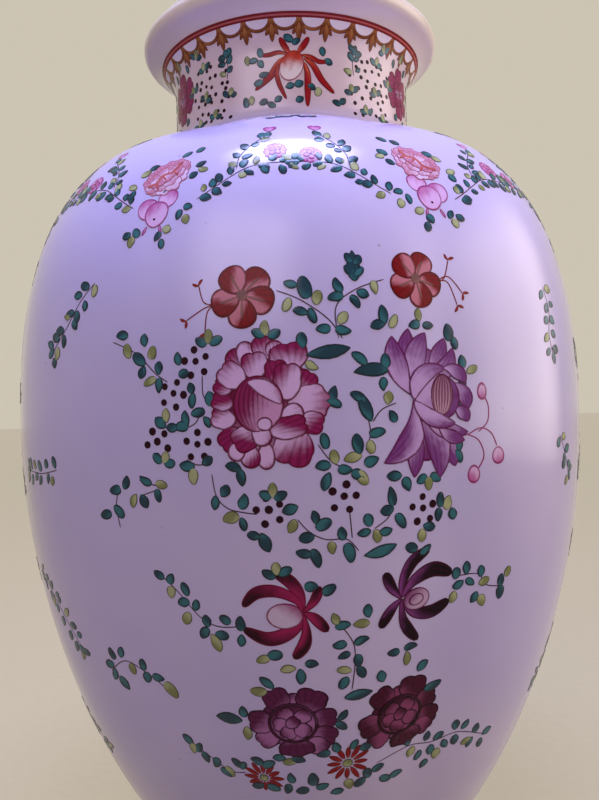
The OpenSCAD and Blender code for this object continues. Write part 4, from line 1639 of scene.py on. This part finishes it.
def make_world():
    """A pale world behind the jar, which lights it only a little."""
    world = bpy.data.worlds.new("studio")
    world.use_nodes = True
    nodes = Nodes(world.node_tree)
    rays = nodes.node("LightPath").outputs
    seen = rays["Is Camera Ray"]
    for kind in ("Is Glossy Ray", "Is Transmission Ray"):
        seen = nodes.math("MAXIMUM", seen, rays[kind])
    background = world.node_tree.nodes["Background"].inputs
    nodes.feed(background["Strength"], nodes.ramp(seen, 0, 1, AMBIENT, BACKDROP))
    nodes.feed(background["Color"], WORLD_COLOUR)
    bpy.context.scene.world = world


def area_light(name, place, aim, size, power, colour):
    """A soft panel that dims towards its edges, so that its reflection has no hard rim."""
    lamp = bpy.data.lights.new(name, "AREA")
    lamp.shape = "RECTANGLE"
    lamp.size, lamp.size_y = size
    lamp.energy = power
    lamp.color = colour
    lamp.use_nodes = True
    nodes = Nodes(lamp.node_tree)
    place_on_it = nodes.node("NewGeometry").outputs["Parametric"]
    across = nodes.node("SeparateXYZ", inputs={0: place_on_it}).outputs
    dims = []
    for axis in ("X", "Y"):
        off = nodes.math("ABSOLUTE", nodes.math("SUBTRACT", across[axis], PANEL_EDGE))
        dims.append(nodes.ramp(off, PANEL_EDGE, PANEL_CORE))
    nodes.feed(lamp.node_tree.nodes["Emission"].inputs["Strength"], nodes.math("MULTIPLY", *dims))
    holder = bpy.data.objects.new(name, lamp)
    bpy.context.scene.collection.objects.link(holder)
    holder.location = place
    way = np.array(aim) - np.array(place)
    tilt = math.acos(-way[2] / np.linalg.norm(way))
    holder.rotation_euler = (tilt, 0, math.atan2(way[1], way[0]) - math.pi / 2)
    return holder


def leave_dark(lamp, piece):
    """Keep this lamp off one piece, so that no edge of its light shows there."""
    skipped = bpy.data.collections.new(lamp.name + "_skips")
    skipped.objects.link(piece)
    skipped.collection_objects[0].light_linking.link_state = "EXCLUDE"
    lamp.light_linking.receiver_collection = skipped


def make_camera():
    """The photograph's view: a level camera, rolled a little."""
    data = bpy.data.cameras.new("photo_view")
    data.sensor_fit = "VERTICAL"
    data.sensor_height = SENSOR_HEIGHT
    data.lens = SENSOR_HEIGHT * FOCAL_PX / PHOTO_HEIGHT
    data.clip_start = CLIP_START
    camera = bpy.data.objects.new("photo_view", data)
    camera.location = (0, -CAMERA_BACK, CAMERA_HEIGHT)
    camera.rotation_euler = (math.pi / 2, math.radians(CAMERA_ROLL), 0)
    bpy.context.scene.collection.objects.link(camera)
    bpy.context.scene.camera = camera


floor = make_floor()
make_world()
lamps = {name: area_light(name, **lamp) for name, lamp in LAMPS.items()}
leave_dark(lamps["right_window"], floor)
make_camera()

bpy.context.scene.view_settings.view_transform = "Standard"
